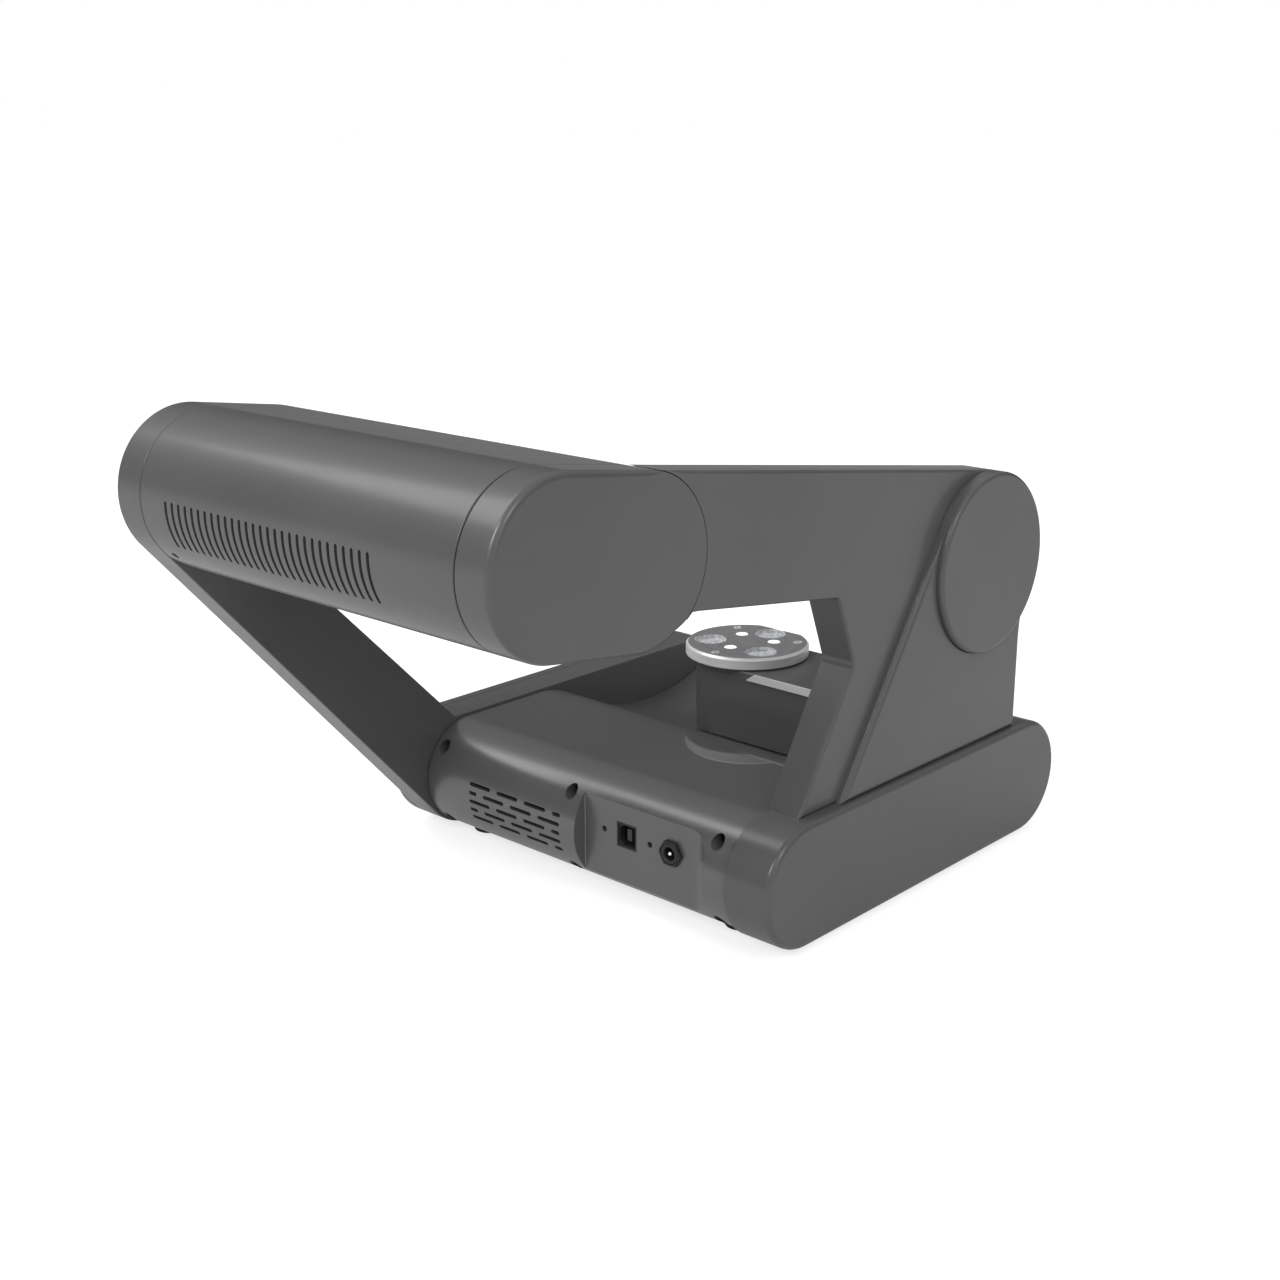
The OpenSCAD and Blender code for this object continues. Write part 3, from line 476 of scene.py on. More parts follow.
def brushed(tree, at, density, stains):
    # brushed metal: long fine lines along X, and stains
    stretched = add(tree, "VectorMath", {"operation": "MULTIPLY"}, i0=at, i1=(0.03, 1.0, 1.0)).outputs[0]
    return {"Height": noise(tree, stretched, density, 3.0, 0.65), "Tone": noise(tree, at, stains, 4.0)}


def board(tree, at, pads):
    # circuit board: rows of small pads between winding traces
    cells = add(tree, "TexVoronoi", {"feature": "DISTANCE_TO_EDGE", "distance": "CHEBYCHEV"}, Vector=at,
        Scale=math2(tree, "MULTIPLY", pads, 0.25))
    trace = math2(tree, "LESS_THAN", cells.outputs["Distance"], 0.045)
    dots = add(tree, "TexVoronoi", {"feature": "F1"}, Vector=at, Scale=pads, Randomness=0.15)
    pad = math2(tree, "LESS_THAN", dots.outputs["Distance"], 0.22)
    return {"Copper": math2(tree, "MAXIMUM", trace, math2(tree, "MULTIPLY", pad, 0.8))}


groups = {
    "skin": newGroup("mouldedSkin", {"Grain": 1800.0, "Waviness": 14.0}, skin),
    "turned": newGroup("turnedMetal", {"Centre": (0, 0, 0), "Lines": 5200.0}, turned),
    "brushed": newGroup("brushedMetal", {"Lines": 2400.0, "Stains": 55.0}, brushed),
    "board": newGroup("boardTraces", {"Pads": 420.0}, board),
}


def useGroup(tree, kind, values):
    # one of the groups, on the piece's own coordinates
    node = add(tree, "Group", {"node_tree": groups[kind]}, Vector=add(tree, "TexCoord").outputs["Object"])
    for key, value in values.items():
        node.inputs[key].default_value = value
    return node.outputs


def spread(tree, mask, low=0.0, high=1.0):
    # turns a mask from 0.3 to 0.7 into a value between low and high
    return add(tree, "MapRange", Value=mask, From_Min=0.3, From_Max=0.7, To_Min=low, To_Max=high).outputs[0]


def blend(tree, shader, mask, dark, light):
    # base colour: dark + mask * (light - dark)
    mix = add(tree, "Mix", {"data_type": "RGBA"}, i0=mask, i6=(*dark, 1), i7=(*light, 1))
    tree.links.new(mix.outputs[2], shader.inputs["Base Color"])


def bump(tree, shader, height, distance):
    # relief: the normal leans with the slope of height * distance
    node = add(tree, "Bump", Height=height, Distance=distance, Strength=1.0)
    tree.links.new(node.outputs[0], shader.inputs["Normal"])


def surface(name, kind, dark, light, rough, depth, values={}, plain={}):
    # a tone and a roughness that follow the group's masks, over fine relief; glass has no relief
    material, tree, shader = newMaterial(name, light if depth else dark, rough[0],
        {"Metallic": float(kind != "skin"), **plain})
    masks = useGroup(tree, kind, values)
    shade, marks = ("Shade", "Marks") if kind == "skin" else ("Tone", "Tone")
    blend(tree, shader, spread(tree, masks[shade]), dark, light)
    tree.links.new(spread(tree, masks[marks], *rough), shader.inputs["Roughness"])
    if depth:
        bump(tree, shader, masks["Height"], depth)
    return material


# Finishes by slot and group: darker and lighter tone, least and greatest roughness, relief in metres, the group's
# own values and the shader's plain ones
casingTones = (0.078, 0.077, 0.078), (0.086, 0.085, 0.086)
fine, clear = {"Grain": 2600.0}, {"Grain": 900.0, "Waviness": 9.0}
middle = {"Centre": (0.0158, -0.1136, 0.09)}
finishSet = {
    ("casing", "skin"): {
        "casing": (*casingTones, (0.34, 0.4), 6e-6, {},
            {"IOR": 1.46, "Coat Weight": 0.5, "Coat Roughness": 0.19, "Coat IOR": 1.45}),
        "deck": (*casingTones, (0.34, 0.4), 6e-6, {}, {"IOR": 1.46, "Coat Weight": 1.0, "Coat IOR": 1.7}),
        "liner": (*casingTones, (0.36, 0.44), 6e-6, {}, {"IOR": 1.46}),
        # a lighter copy of the casing for the panel's bead: a painted highlight
        "bead": ((0.15, 0.15, 0.151), (0.17, 0.17, 0.171), (0.34, 0.4), 6e-6, {}, {"IOR": 1.46}),
    },
    ("black_plastic", "skin"): {
        "blackPlastic": ((0.008, 0.008, 0.009), (0.014, 0.014, 0.015), (0.4, 0.5), 1e-5, fine),
        "portBlack": ((0.016, 0.016, 0.017), (0.024, 0.024, 0.025), (0.4, 0.5), 1e-5, fine),
        "portGrey": ((0.036, 0.036, 0.037), (0.048, 0.048, 0.05), (0.38, 0.48), 1e-5, fine),
        "motorBlack": ((0.015, 0.015, 0.016), (0.024, 0.024, 0.026), (0.42, 0.55), 2e-5, {"Grain": 1500.0}),
    },
    ("rubber", "skin"): {
        "rubber": ((0.010, 0.010, 0.010), (0.02, 0.02, 0.02), (0.75, 0.9), 4e-5, {"Grain": 3200.0}),
        "belt": ((0.012, 0.012, 0.012), (0.02, 0.02, 0.02), (0.7, 0.85), 8e-5, {"Grain": 1200.0}),
    },
    ("steel", "brushed"): {
        "steel": ((0.42, 0.42, 0.43), (0.6, 0.6, 0.61), (0.28, 0.4), 8e-6),
        "sheet": ((0.36, 0.37, 0.38), (0.52, 0.53, 0.54), (0.35, 0.5), 1e-5, {"Lines": 1400.0}),
        # magnets and the jack pin's tip: white with a faint emission, a painted glow
        "whitePaintedGlow": ((0.93, 0.93, 0.93), (0.99, 0.99, 0.99), (0.3, 0.4), 2e-6, {},
            {"Metallic": 0.0, "Emission Color": (1, 1, 1, 1), "Emission Strength": 0.3}),
        "plateScrew": ((0.6, 0.6, 0.61), (0.85, 0.85, 0.86), (0.25, 0.35), 1e-5, {}, {"Metallic": 0.5}),
        "strip": ((0.6, 0.6, 0.6), (0.7, 0.7, 0.7), (0.4, 0.5), 4e-6, {}, {"Metallic": 0.1}),
        "darkScrew": ((0.02, 0.02, 0.022), (0.05, 0.05, 0.054), (0.3, 0.45), 6e-6),
    },
    ("alloy", "brushed"): {
        "alloy": ((0.4, 0.41, 0.42), (0.55, 0.56, 0.57), (0.32, 0.45), 8e-6, {"Lines": 3000.0}),
        "cup": ((0.34, 0.35, 0.37), (0.8, 0.81, 0.83), (0.4, 0.5), 4e-6, {"Lines": 900.0, "Stains": 520.0},
            {"Metallic": 0.3}),
    },
    ("alloy", "turned"): {
        "table": ((0.22, 0.22, 0.225), (0.36, 0.36, 0.37), (0.3, 0.42), 2e-5, middle, {"Metallic": 0.5}),
        # the table's side and chamfer: a brighter copy of the table's finish, a painted reflection
        "tableRimPaintedReflection": ((0.55, 0.55, 0.555), (0.95, 0.95, 0.96), (0.25, 0.4), 3e-5, {**middle, "Lines": 2600.0},
            {"Metallic": 0.3}),
    },
    ("glass", "skin"): {
        "windowGlass": ((0.05, 0.055, 0.06), (0.07, 0.075, 0.08), (0.04, 0.09), 0, clear,
            {"Transmission Weight": 0.85, "IOR": 1.5}),
        "lensGlass": ((0.03, 0.02, 0.06), (0.05, 0.035, 0.09), (0.03, 0.08), 0, clear,
            {"Coat Weight": 1.0, "Coat Roughness": 0.02}),
    },
    ("light_pipe", "skin"): {
        "lightPipeDark": ((0.012, 0.012, 0.014), (0.02, 0.02, 0.022), (0.15, 0.2), 0, clear, {"Coat Weight": 0.5}),
    },
}
slotOf, finish = {}, {}
for (slotName, kind), rows in finishSet.items():
    for name, row in rows.items():
        slotOf[name], finish[name] = slotName, surface(name, kind, *row)


def glossyOnTop(material, levelFrom, levelTo, soft, sharp):
    # the clear coat mirrors sharply on level faces and softly on the others
    tree = material.node_tree
    parts = add(tree, "SeparateXYZ", Vector=add(tree, "TexCoord").outputs["Normal"])
    level = add(tree, "MapRange", Value=parts.outputs["Z"], From_Min=levelFrom, From_Max=levelTo,
        To_Min=soft, To_Max=sharp)
    tree.links.new(level.outputs[0], tree.nodes["Principled BSDF"].inputs["Coat Roughness"])


def boardFinish(name, dark, light, plain, rough, depth):
    # lacquer, lighter where the copper lies under it
    material, tree, shader = newMaterial(name, plain, rough, {})
    copper = useGroup(tree, "board", {})["Copper"]
    blend(tree, shader, copper, dark, light)
    bump(tree, shader, copper, depth)
    return material


glossyOnTop(finish["deck"], 0.985, 0.999, 0.25, 0.02)
finish["circuit"] = boardFinish("circuit", (0.012, 0.09, 0.04), (0.06, 0.2, 0.09), (0.02, 0.12, 0.06), 0.35, 3e-5)
print("finishes ready:", len(finish))


# The frame's main places, as in the CAD: inX to outX are the arms, up to footX the feet
place = measures(
    inX=101.0, outX=119.1, footX=126.6, wall=2.5, seam=0.3, beyond=1.0, linerPlay=0.1, linerRim=0.3,
    beltX=(-115.9, -107.9), footFront=(-169.2, 32.0), footRear=(16.0, 32.0), footR=30.0, footTop=62.0,
    hub=(-126.4, 155.2), hubR=44.8, headRear=(162.8, 205.2), headR=36.4, tilt=8.15, headDeep=46.1,
    troughR=120.0, tableX=15.8, tableY=-113.6, tableTop=90.0,
)
hub, headRear, footFront, footRear = (np.array(place[k]) for k in ("hub", "headRear", "footFront", "footRear"))
inX, outX, footX, wall, seam, beyond = (place[k] for k in ("inX", "outX", "footX", "wall", "seam", "beyond"))
hubR, headR, footR, footTop, troughR = (place[k] for k in ("hubR", "headR", "footR", "footTop", "troughR"))
tableX, tableY, tableTop = (place[k] for k in ("tableX", "tableY", "tableTop"))
headFront = headRear - place.headDeep * towards(place.tilt)
tableAt = tableX, tableY

# Base shell: the middle of the base, its trough, its sockets' recess, vents and screw holes
baseSet = measures(
    front=(-168.4, 31.7), rear=(15.2, 31.7), radius=28.7, fillet=46.0, rim=0.5,
    panelY=36.0, panelFar=-5.9, panelNear=-74.0, cove=17.0, past=60, over=70,
    ventX=(4.3, 68.9), ventRows=5, ventsInRow=4, ventSlot=15.0, ventPitch=19.7, ventRow=4.55,
    ventR=0.95, ventLow=20.1, ventY=(15.2, 50),
    screwX=(-90.5, 2.0, 94.5), screwZ=(10.2, 50.0), screwR=3.4, threadR=1.5, bossR=5.1, screwY=30.0,
    usbX=-33.3, usbS=12.5, usbPlay=0.1, jackX=-62.0, jackR=5.3, lightX=(-18.8, -48.1), lightR=1.5,
    portZ=36.1, portY=(30, 40), openLow=(-95, -168.3, 0), openHigh=(95, 15.2, 6.5),
)


def baseProfile(s, g):
    # stadium with a round bite for the trough, and a large round where the deck falls into it; g moves it inwards
    front, rear, r = np.array(s.front), np.array(s.rear), s.radius - g
    biteR = troughR + g
    deckTop = front[1] + s.radius
    filletC = np.array([hub[0] + math.sqrt((troughR + s.fillet) ** 2 - (hub[1] - deckTop + s.fillet) ** 2),
        deckTop - s.fillet])
    # the trough's front edge lies on the front round
    d = np.linalg.norm(front - hub)
    a = (d * d + biteR * biteR - r * r) / (2 * d)
    u = unit(front - hub)
    lip = hub + a * u + math.sqrt(biteR * biteR - a * a) * -leftOf(u)
    start = angleOf(lip - hub)
    span = (angleOf(filletC - hub) - start) % 360
    return tidied(np.vstack([
        arc(front, r, 270, angleOf(lip - front) % 360, 2.0)[::-1], [[rear[0], front[1] - r]],
        arc(rear, r, 90, -90, 2.0)[::-1], arc(filletC, s.fillet - g, angleOf(hub - filletC), 90, 2.0)[::-1],
        arc(hub, biteR, start, start + span, 1.0)[::-1]]))


def buildBase(s):
    # the shell, less its hollow, the recessed panel, the vents and the holes
    outer = sweep("baseShell", holdFlats(baseProfile(s, 0)), -inX + seam, inX - seam, s.rim, s.rim)
    near, far, cove, y, past, bolt = (s[k] for k in ("panelNear", "panelFar", "cove", "panelY", "past", "screwY"))
    bolts = [(x, z) for x in s.screwX for z in s.screwZ]
    inner = bar(baseProfile(s, wall), -inX - 1, inX + 1, cut=[
        boxAt((near - cove, y - wall, 0), (far + wall, past, s.over)),
        *[rodY(x, z, s.bossR, bolt - wall, past) for x, z in bolts]])
    bend = np.vstack([arc((near, y + cove), cove, 90, 270, 4), [[near + 1, y], [near + 1, y + 2 * cove]]])
    cutters = [inner, boxAt((near, y, 0), (far, past, s.over)), bar(bend, -1, s.over + 1, onZ)]
    left, right = s.ventX
    for row in range(s.ventRows):
        z, r = s.ventLow + row * s.ventRow, s.ventR
        for k in range(s.ventsInRow):
            high = right - k * s.ventPitch
            low = max(left, high - s.ventSlot)
            # every second row is the mirror image of the first
            x0, x1 = (low, high) if row % 2 == 0 else (left + right - high, left + right - low)
            cutters.append(bar(capsule((x0 + r, z), (x1 - r, z), r, 15), *s.ventY, onY))
    for x, z in bolts:
        cutters += [rodY(x, z, s.screwR, bolt, 50), rodY(x, z, s.threadR, 20, bolt + 1, 20)]
    x, z, half, (y0, y1) = s.usbX, s.portZ, s.usbS / 2 + s.usbPlay, s.portY
    cutters += [boxAt((x - half, y0, z - half), (x + half, y1, z + half)), rodY(s.jackX, z, s.jackR, y0, y1, 40)]
    cutters += [rodY(x, z, s.lightR, y0, y1, 20) for x in s.lightX]
    cutAway(outer, *cutters, boxAt(s.openLow, s.openHigh))
    return dress(outer, "deck", "base_shell")


baseShell = buildBase(baseSet)
print("base shell:", len(baseShell.data.polygons), "faces")

# Feet: the base's ends; the near one has the swing motor's shaft and the way of its belt up to the hub
footSet = measures(
    round=3.2, inner=0.6, drive=(-30.0, 33.0), driveR=10.65, driveHole=11.1, beltR=28.65,
    beltLow=((-130, -210, 0), (-100, 60, 32)), farHollow=24.3, farRim=0.4,
)
footShape = holdFlats(capsule(footRear, footFront, footR, 2.5))
passage = capsule(footSet.drive, hub, footSet.driveR, 6, footSet.beltR)
dress(sweep("nearFoot", footShape, -footX, -inX, footSet.round, footSet.inner, cut=[
    bar(capsule(footRear, footFront, footR - wall, 4), -footX + wall, -inX - wall),
    bar(passage, *place.beltX, cut=[boxAt(*footSet.beltLow)]),
    bar(circle(footSet.drive, footSet.driveHole, 5), -inX - wall - beyond, -inX + beyond)]), "casing", "near_foot")

# Sizes of the head and its cap, which the near arm meets
headSet = measures(
    rim=0.5, gap=0.6, capRound=3.0, capFade=7.0, capHollow=29.5, capWall=5,
    slots=29, slotX=-52.5, slotPitch=4.79, slotR=0.9, slotLong=21.9, slotTurn=-13.8,
    faceAt=27.0, panel=3.0, play=0.1, screwX=92.5, screwTurn=-43.5, screwHole=1.9, screwIn=(-6, 2),
    focus=12.0, windowW=150.0, windowH=34.0, chamfer=1.5, frameIn=24, pane=(2.6, 0.6), paneEdge=0.3,
)
headShape = holdFlats(capsule(headRear, headFront, headR, 2.0))

# Near arm: hooked plate from the foot, round the hub, to the head
armSet = measures(
    legFore=35.0, legBack=141.0, bend=(103.1, -29.4), bendR=5.0, armR=3.0, height=57.0,
    reach=131.5, wedge=31.3, wedgeAngle=237.0, rim=1.5, innerRim=0.5, fade=4.0, hubLip=6.0,
    shaftHole=19.6, beltHigh=((-130, -210, 70), (-100, 60, 230)),
)


def armShape(s, g):
    # outline drawn in by g: leg, bend, arm and wedge with straight edges, a cove round the head, a crown round the hub
    top = tangentLine(hub, hubR - g, headFront, headR - g, 1)
    u = unit(top[1] - top[0])
    down, legX = -leftOf(u), hub[0] - s.legFore
    low = top[1] - g * down + s.height * down
    corners = [np.array([legX, footTop]), np.array([hub[0] + s.legBack, footTop]), hub + np.array(s.bend),
        low - s.reach * u, low - s.wedge * u, headFront + headR * towards(s.wedgeAngle)]
    if g > 0:
        corners = list(inset(np.array([(legX, hub[1]), *corners, headFront]), g)[1:-1])
    gap = headR + seam + g
    corners[-1] = lineCircle(corners[-2], unit(corners[-1] - corners[-2]), headFront, gap, -1)
    body = rounded([corners[0] + np.array([0.0, 50.0]), *corners], [0, 0, 0, s.bendR + g, s.armR + g, 0, 0])[1:]
    stop = lineCircle(top[0], u, headFront, gap, -1)
    cove = arc(headFront, gap, angleOf(corners[-1] - headFront) % 360, angleOf(stop - headFront) % 360, 2.5)
    endTurn = 360 - math.degrees(math.acos((legX + g - hub[0]) / (hubR - g)))
    crown = arc(hub, hubR - g, angleOf(top[0] - hub), endTurn, 2.5)
    return tidied(np.vstack([body, cove, crown]), 0.05)


armOuter, armInner = armShape(armSet, 0), armShape(armSet, wall)
armOutline = holdFlats(holdFlats(armOuter, 18.0, 50.0), 5.0, 14.0)
hubWay = circle(hub, hubR - armSet.hubLip, 5)
dress(sweep("nearArm", armOutline, -outX, -inX, armSet.rim, armSet.innerRim,
    share=shareBeside(armOutline, headShape, armSet.fade), cut=[
    bar(armInner, -outX + wall, -inX + beyond), bar(hubWay, -outX - beyond, -inX),
    bar(passage, *place.beltX, cut=[boxAt(*armSet.beltHigh)])]), "casing", "near_arm")
dress(sweep("nearArmLiner", inset(armInner, place.linerPlay), -inX - wall, -inX, 0, place.linerRim,
    cut=[bar(circle(hub, armSet.shaftHole, 5), -inX - wall - beyond, -inX + beyond)]), "liner", "near_arm_liner")

# Gusset: raised casing from the near foot up to the hub
gussetSet = measures(thick=4.3, back=114.5, touch=44.9, round=3.0, fade=8.0)


def gussetShape(s):
    # the leg's foot line, a slope that touches a circle round the hub, and a cove that leaves the hub cover free
    foot = np.array([hub[0] + s.back, footTop])
    slope = tangentLine(foot, 0.0, hub, s.touch, -1)
    r = hubR + seam
    top = lineCircle(foot, unit(slope[1] - foot), hub, r, -1)
    legX = hub[0] - armSet.legFore
    side = np.array([legX, hub[1] - math.sqrt(r * r - armSet.legFore ** 2)])
    cove = arc(hub, r, angleOf(top - hub), angleOf(side - hub) % 360 - 360, 2.5)
    return tidied(np.vstack([[[legX, footTop]], [foot], cove]))


gussetOutline = holdFlats(holdFlats(gussetShape(gussetSet), 25.0, 60.0), 9.0, 20.0)
dress(sweep("nearGusset", gussetOutline, -outX - gussetSet.thick, -outX, gussetSet.round, 0,
    share=shareBeside(gussetOutline, circle(hub, hubR, 1), gussetSet.fade)), "casing", "near_gusset")

# Hub cover: round lid over the end of the swing axis
hubSet = measures(thick=7.5, round=2.2, inner=0.3)
dress(sweep("hubCover", circle(hub, hubR, 2.5), -outX - hubSet.thick, -outX, hubSet.round, hubSet.inner,
    steps=8, cut=[bar(hubWay, -outX - hubSet.thick + wall, -outX + beyond)]), "casing", "hub_cover")

# Far side: foot, slanting plank and end of the head in one plate
farSet = measures(plankBack=149.8, plankPass=29.8, rim=0.6, rimOut=1.0, nook=3.0)


def farShape(s, g):
    # outline drawn in by g: rounds of head and foot, their common tangent behind, and the plank's front line
    r, hr = footR - g, headR - g
    back = tangentLine(footRear, r, headRear, hr, -1)
    start = np.array([hub[0] + s.plankBack, footTop])
    line = tangentLine(start, 0.0, headFront, s.plankPass, -1)
    u = unit(line[1] - line[0])
    start = start + g * -leftOf(u)
    start = start + u * ((footRear[1] + r - start[1]) / u[1])
    leave = lineCircle(start, u, headFront, hr, -1)
    crest = 90 + place.tilt
    return tidied(np.vstack([
        arc(headRear, hr, angleOf(back[1] - headRear), crest, 2.5),
        arc(headFront, hr, crest, angleOf(leave - headFront) % 360, 2.5),
        rounded([leave, start, start - np.array([60.0, 0])], [0, s.nook, 0]),
        arc(footFront, r, 90, 270, 2.5), arc(footRear, r, 270, 360 + angleOf(back[0] - footRear), 2.5)]), 0.05)


farInner = farShape(farSet, wall)
dress(sweep("farArm", holdFlats(farShape(farSet, 0)), inX, outX, farSet.rim, farSet.rimOut,
    cut=[bar(farInner, inX + wall, outX + beyond)]), "casing", "far_arm")
farHollow = capsule(footRear, footFront, footSet.farHollow, 4)
dress(sweep("farArmLiner", inset(farInner, place.linerPlay), outX - wall, outX, 0, place.linerRim),
    "casing", "far_arm_liner")
dress(sweep("farFootCover", footShape, outX, footX, footSet.farRim, footSet.round,
    cut=[bar(farHollow, outX - beyond, footX - wall)]), "casing", "far_foot_cover")
print("arms and feet ready")

# Head: rounded tube with cooling slots, open towards the turntable, and a cap at its near end
sight = math.atan2(headFront[1] - tableTop - headSet.focus, headFront[0] - tableY)
look = -towards(math.degrees(sight))
aside = leftOf(look)


def beyondFace(d, r=80):
    # everything further than d along the line of sight
    p = headFront + d * look
    ring = [p + r * aside, p - r * aside, p - r * aside + r * look, p + r * aside + r * look]
    return bar(np.array(ring), -inX - 2, inX + 2)


def headSlot(s, k):
    # one upright slot through the rear wall, with rounded ends
    out = towards(s.slotTurn)
    up = leftOf(out)
    x, r = s.slotX + k * s.slotPitch, s.slotR
    ring = capsule((x, s.slotLong / 2 - r), (x, -s.slotLong / 2 + r), r, 30)
    y, z = np.outer(up, ring[:, 1])
    return loft("cutter", [np.column_stack([ring[:, 0], (headRear + d * out)[0] + y, (headRear + d * out)[1] + z])
        for d in (headR - 2 * wall, headR + wall)])


def windowRing(s, ahead, wider):
    # the window's rectangle at a distance along the line of sight
    w, h = s.windowW / 2 + wider, s.windowH / 2 + wider
    return np.array([[tableX + a * w, *(headFront + ahead * look + b * h * -aside)]
        for a, b in ((-1, -1), (1, -1), (1, 1), (-1, 1))])


def buildHead(s):
    # the tube, its cap and the frame, each less its openings, and the pane in the frame
    out = towards(s.screwTurn)
    hole = lathe("cutter", [(s.screwHole, headR + d) for d in s.screwIn], (s.screwX, *headRear),
        ((1, 0, 0), (0, *leftOf(out)), (0, *out)), 24)
    dress(sweep("headShell", headShape, -inX + s.gap, inX - seam, s.rim, s.rim, cut=[
        bar(capsule(headRear, headFront, headR - wall), -inX - 1, inX + 1),
        beyondFace(s.faceAt - s.panel - s.play), hole, *[headSlot(s, k) for k in range(s.slots)]]),
        "casing", "head_shell")
    dress(sweep("headCap", headShape, -outX, -inX, s.capRound, s.rim, steps=10,
        share=shareBeside(headShape, armOuter, s.capFade),
        cut=[bar(capsule(headRear, headFront, s.capHollow, 4), -outX + s.capWall, -inX + 1)]), "casing", "head_cap")
    inside = np.array([headFront + s.frameIn * look + 60 * aside * k + j * look
        for k, j in ((1, 0), (1, -150), (-1, -150), (-1, 0))])
    opening = loft("cutter", [windowRing(s, d, g) for d, g in (
        (20, 0), (s.faceAt - 0.5, 0), (s.faceAt + 1, s.chamfer))])
    dress(sweep("windowFrame", headShape, -inX + seam, inX - seam, s.rim, s.rim,
        cut=[beyondFace(s.faceAt), bar(inside, -inX - 2, inX + 2), opening]), "blackPlastic", "window_frame")
    pane = loft("windowGlass", [windowRing(s, s.faceAt - d, -s.play) for d in s.pane])
    dress(pane, "windowGlass", "window_glass", edge=s.paneEdge)


buildHead(headSet)
print("head ready")

# Swing arm: link from the hub, long box under the turntable, its lid and the light strip
swingSet = measures(
    gap=2.0, boxR=27.6, linkX=(-99.5, -88.0), linkR=26.0, shaftR=8.0, boxTop=83.2, boxFrom=30,
    lid=3.0, bearingR=14.0, edge=0.8, boxRim=0.2, lidRim=(0.25, 0.9),
    strip=(-86.0, -11.8), stripT=0.8, stripH=4.0, stripSlant=5.6, stripCorner=0.3,
)


def linkShape(s):
    # the trough's round below, two upright edges, and a round about the hub
    r, left, right = troughR - s.gap, tableY - s.boxR, tableY + s.boxR
    a0, a1 = (270 + math.degrees(math.asin((y - hub[0]) / r)) for y in (left, right))
    return tidied(np.vstack([
        arc(hub, r, a0, a1, 1.5), [[right, s.boxTop]], arc(hub, s.linkR, 0, 180, 4), [[left, s.boxTop]]]))


def boxPlan(s, g):
    # seen from above: straight at the link, round about the turntable's axis
    x0, r = s.linkX[1] + g, s.boxR - g
    return tidied(np.vstack([[[x0, tableY + r], [x0, tableY - r]], arc(tableAt, r, -90, 90, 3)]))


def underRound(radius):
    # a wide block below the box, with the round of that radius about the hub on top
    return bar(np.vstack([arc(hub, radius, 225, 315, 1.5), [[-20, -40], [-230, -40]]]), -120, 60)


def buildSwing(s):
    # link carried along X, box and lid along Z, and the strip along Y
    x0, x1 = s.linkX
    dress(sweep("swingLink", holdFlats(linkShape(s)), x0, x1, s.edge, s.edge,
        cut=[bar(circle(hub, s.shaftR, 6), x0 - 1, x1 + 1)]), "casing", "swing_link", body="swing")
    r, low, top = troughR - s.gap, s.boxFrom, s.boxTop
    split = top - s.lid
    hollow = bar(boxPlan(s, wall), low, split + 1, onZ, [underRound(r - wall)])
    dress(sweep("swingBox", holdFlats(boxPlan(s, 0)), low, split, 0, s.boxRim, onZ, cut=[hollow, underRound(r)]),
        "casing", "swing_box", body="swing")
    dress(sweep("swingLid", holdFlats(boxPlan(s, 0)), split, top, *s.lidRim, onZ,
        cut=[bar(circle(tableAt, s.bearingR, 5), split - 1, top + 1, onZ)]), "casing", "swing_lid", body="swing")
    (x0, x1), y, low = s.strip, tableY + s.boxR, top - s.stripH
    ring = rounded([(x0, low), (x1 + s.stripSlant, low), (x1, top), (x0, top)], s.stripCorner)
    dress(sweep("trimStrip", ring, y, y + s.stripT, onto=onY), "strip", "trim_strip", body="swing")


buildSwing(swingSet)
print("swing arm ready")

# Turntable: turned plate with a flat, three polished cups, three magnets and three hexagon screws
tableSet = measures(
    r=33.4, thick=6.3, flat=30.2, chamfer=1.2, foot=0.4, rimFrom=28.7, rimLevel=0.95,
    cupR=8.7, cupRing=20.1, cupDeep=2.6, cupEdge=0.35, cupPlay=0.05,
    magnetR=3.4, magnetRing=14.4, magnetDeep=3.0, play=0.1, edge=0.2,
    screwR=2.4, screwRing=27.0, screwDeep=1.4, screwEdge=0.25, threadR=1.5, threadHole=(1.6, -6),
    keyR=1.45, keyDeep=1.2, cupTurns=(30, 150, 270), magnetTurns=(90, 219, 321),
)


def onTable(name, ring, turn, profile, segments):
    # a turned piece on the table's top, at a radius and an angle
    return lathe(name, profile, (*polar(tableAt, ring, turn), tableTop), upright, segments)


def recess(ring, turn, r, deep, edge, segments):
    # a cutter of radius r that widens by edge at its mouth
    return onTable("cutter", ring, turn, [(r, -deep), (r, -edge), (r + edge, 0), (r + edge, 1)], segments)


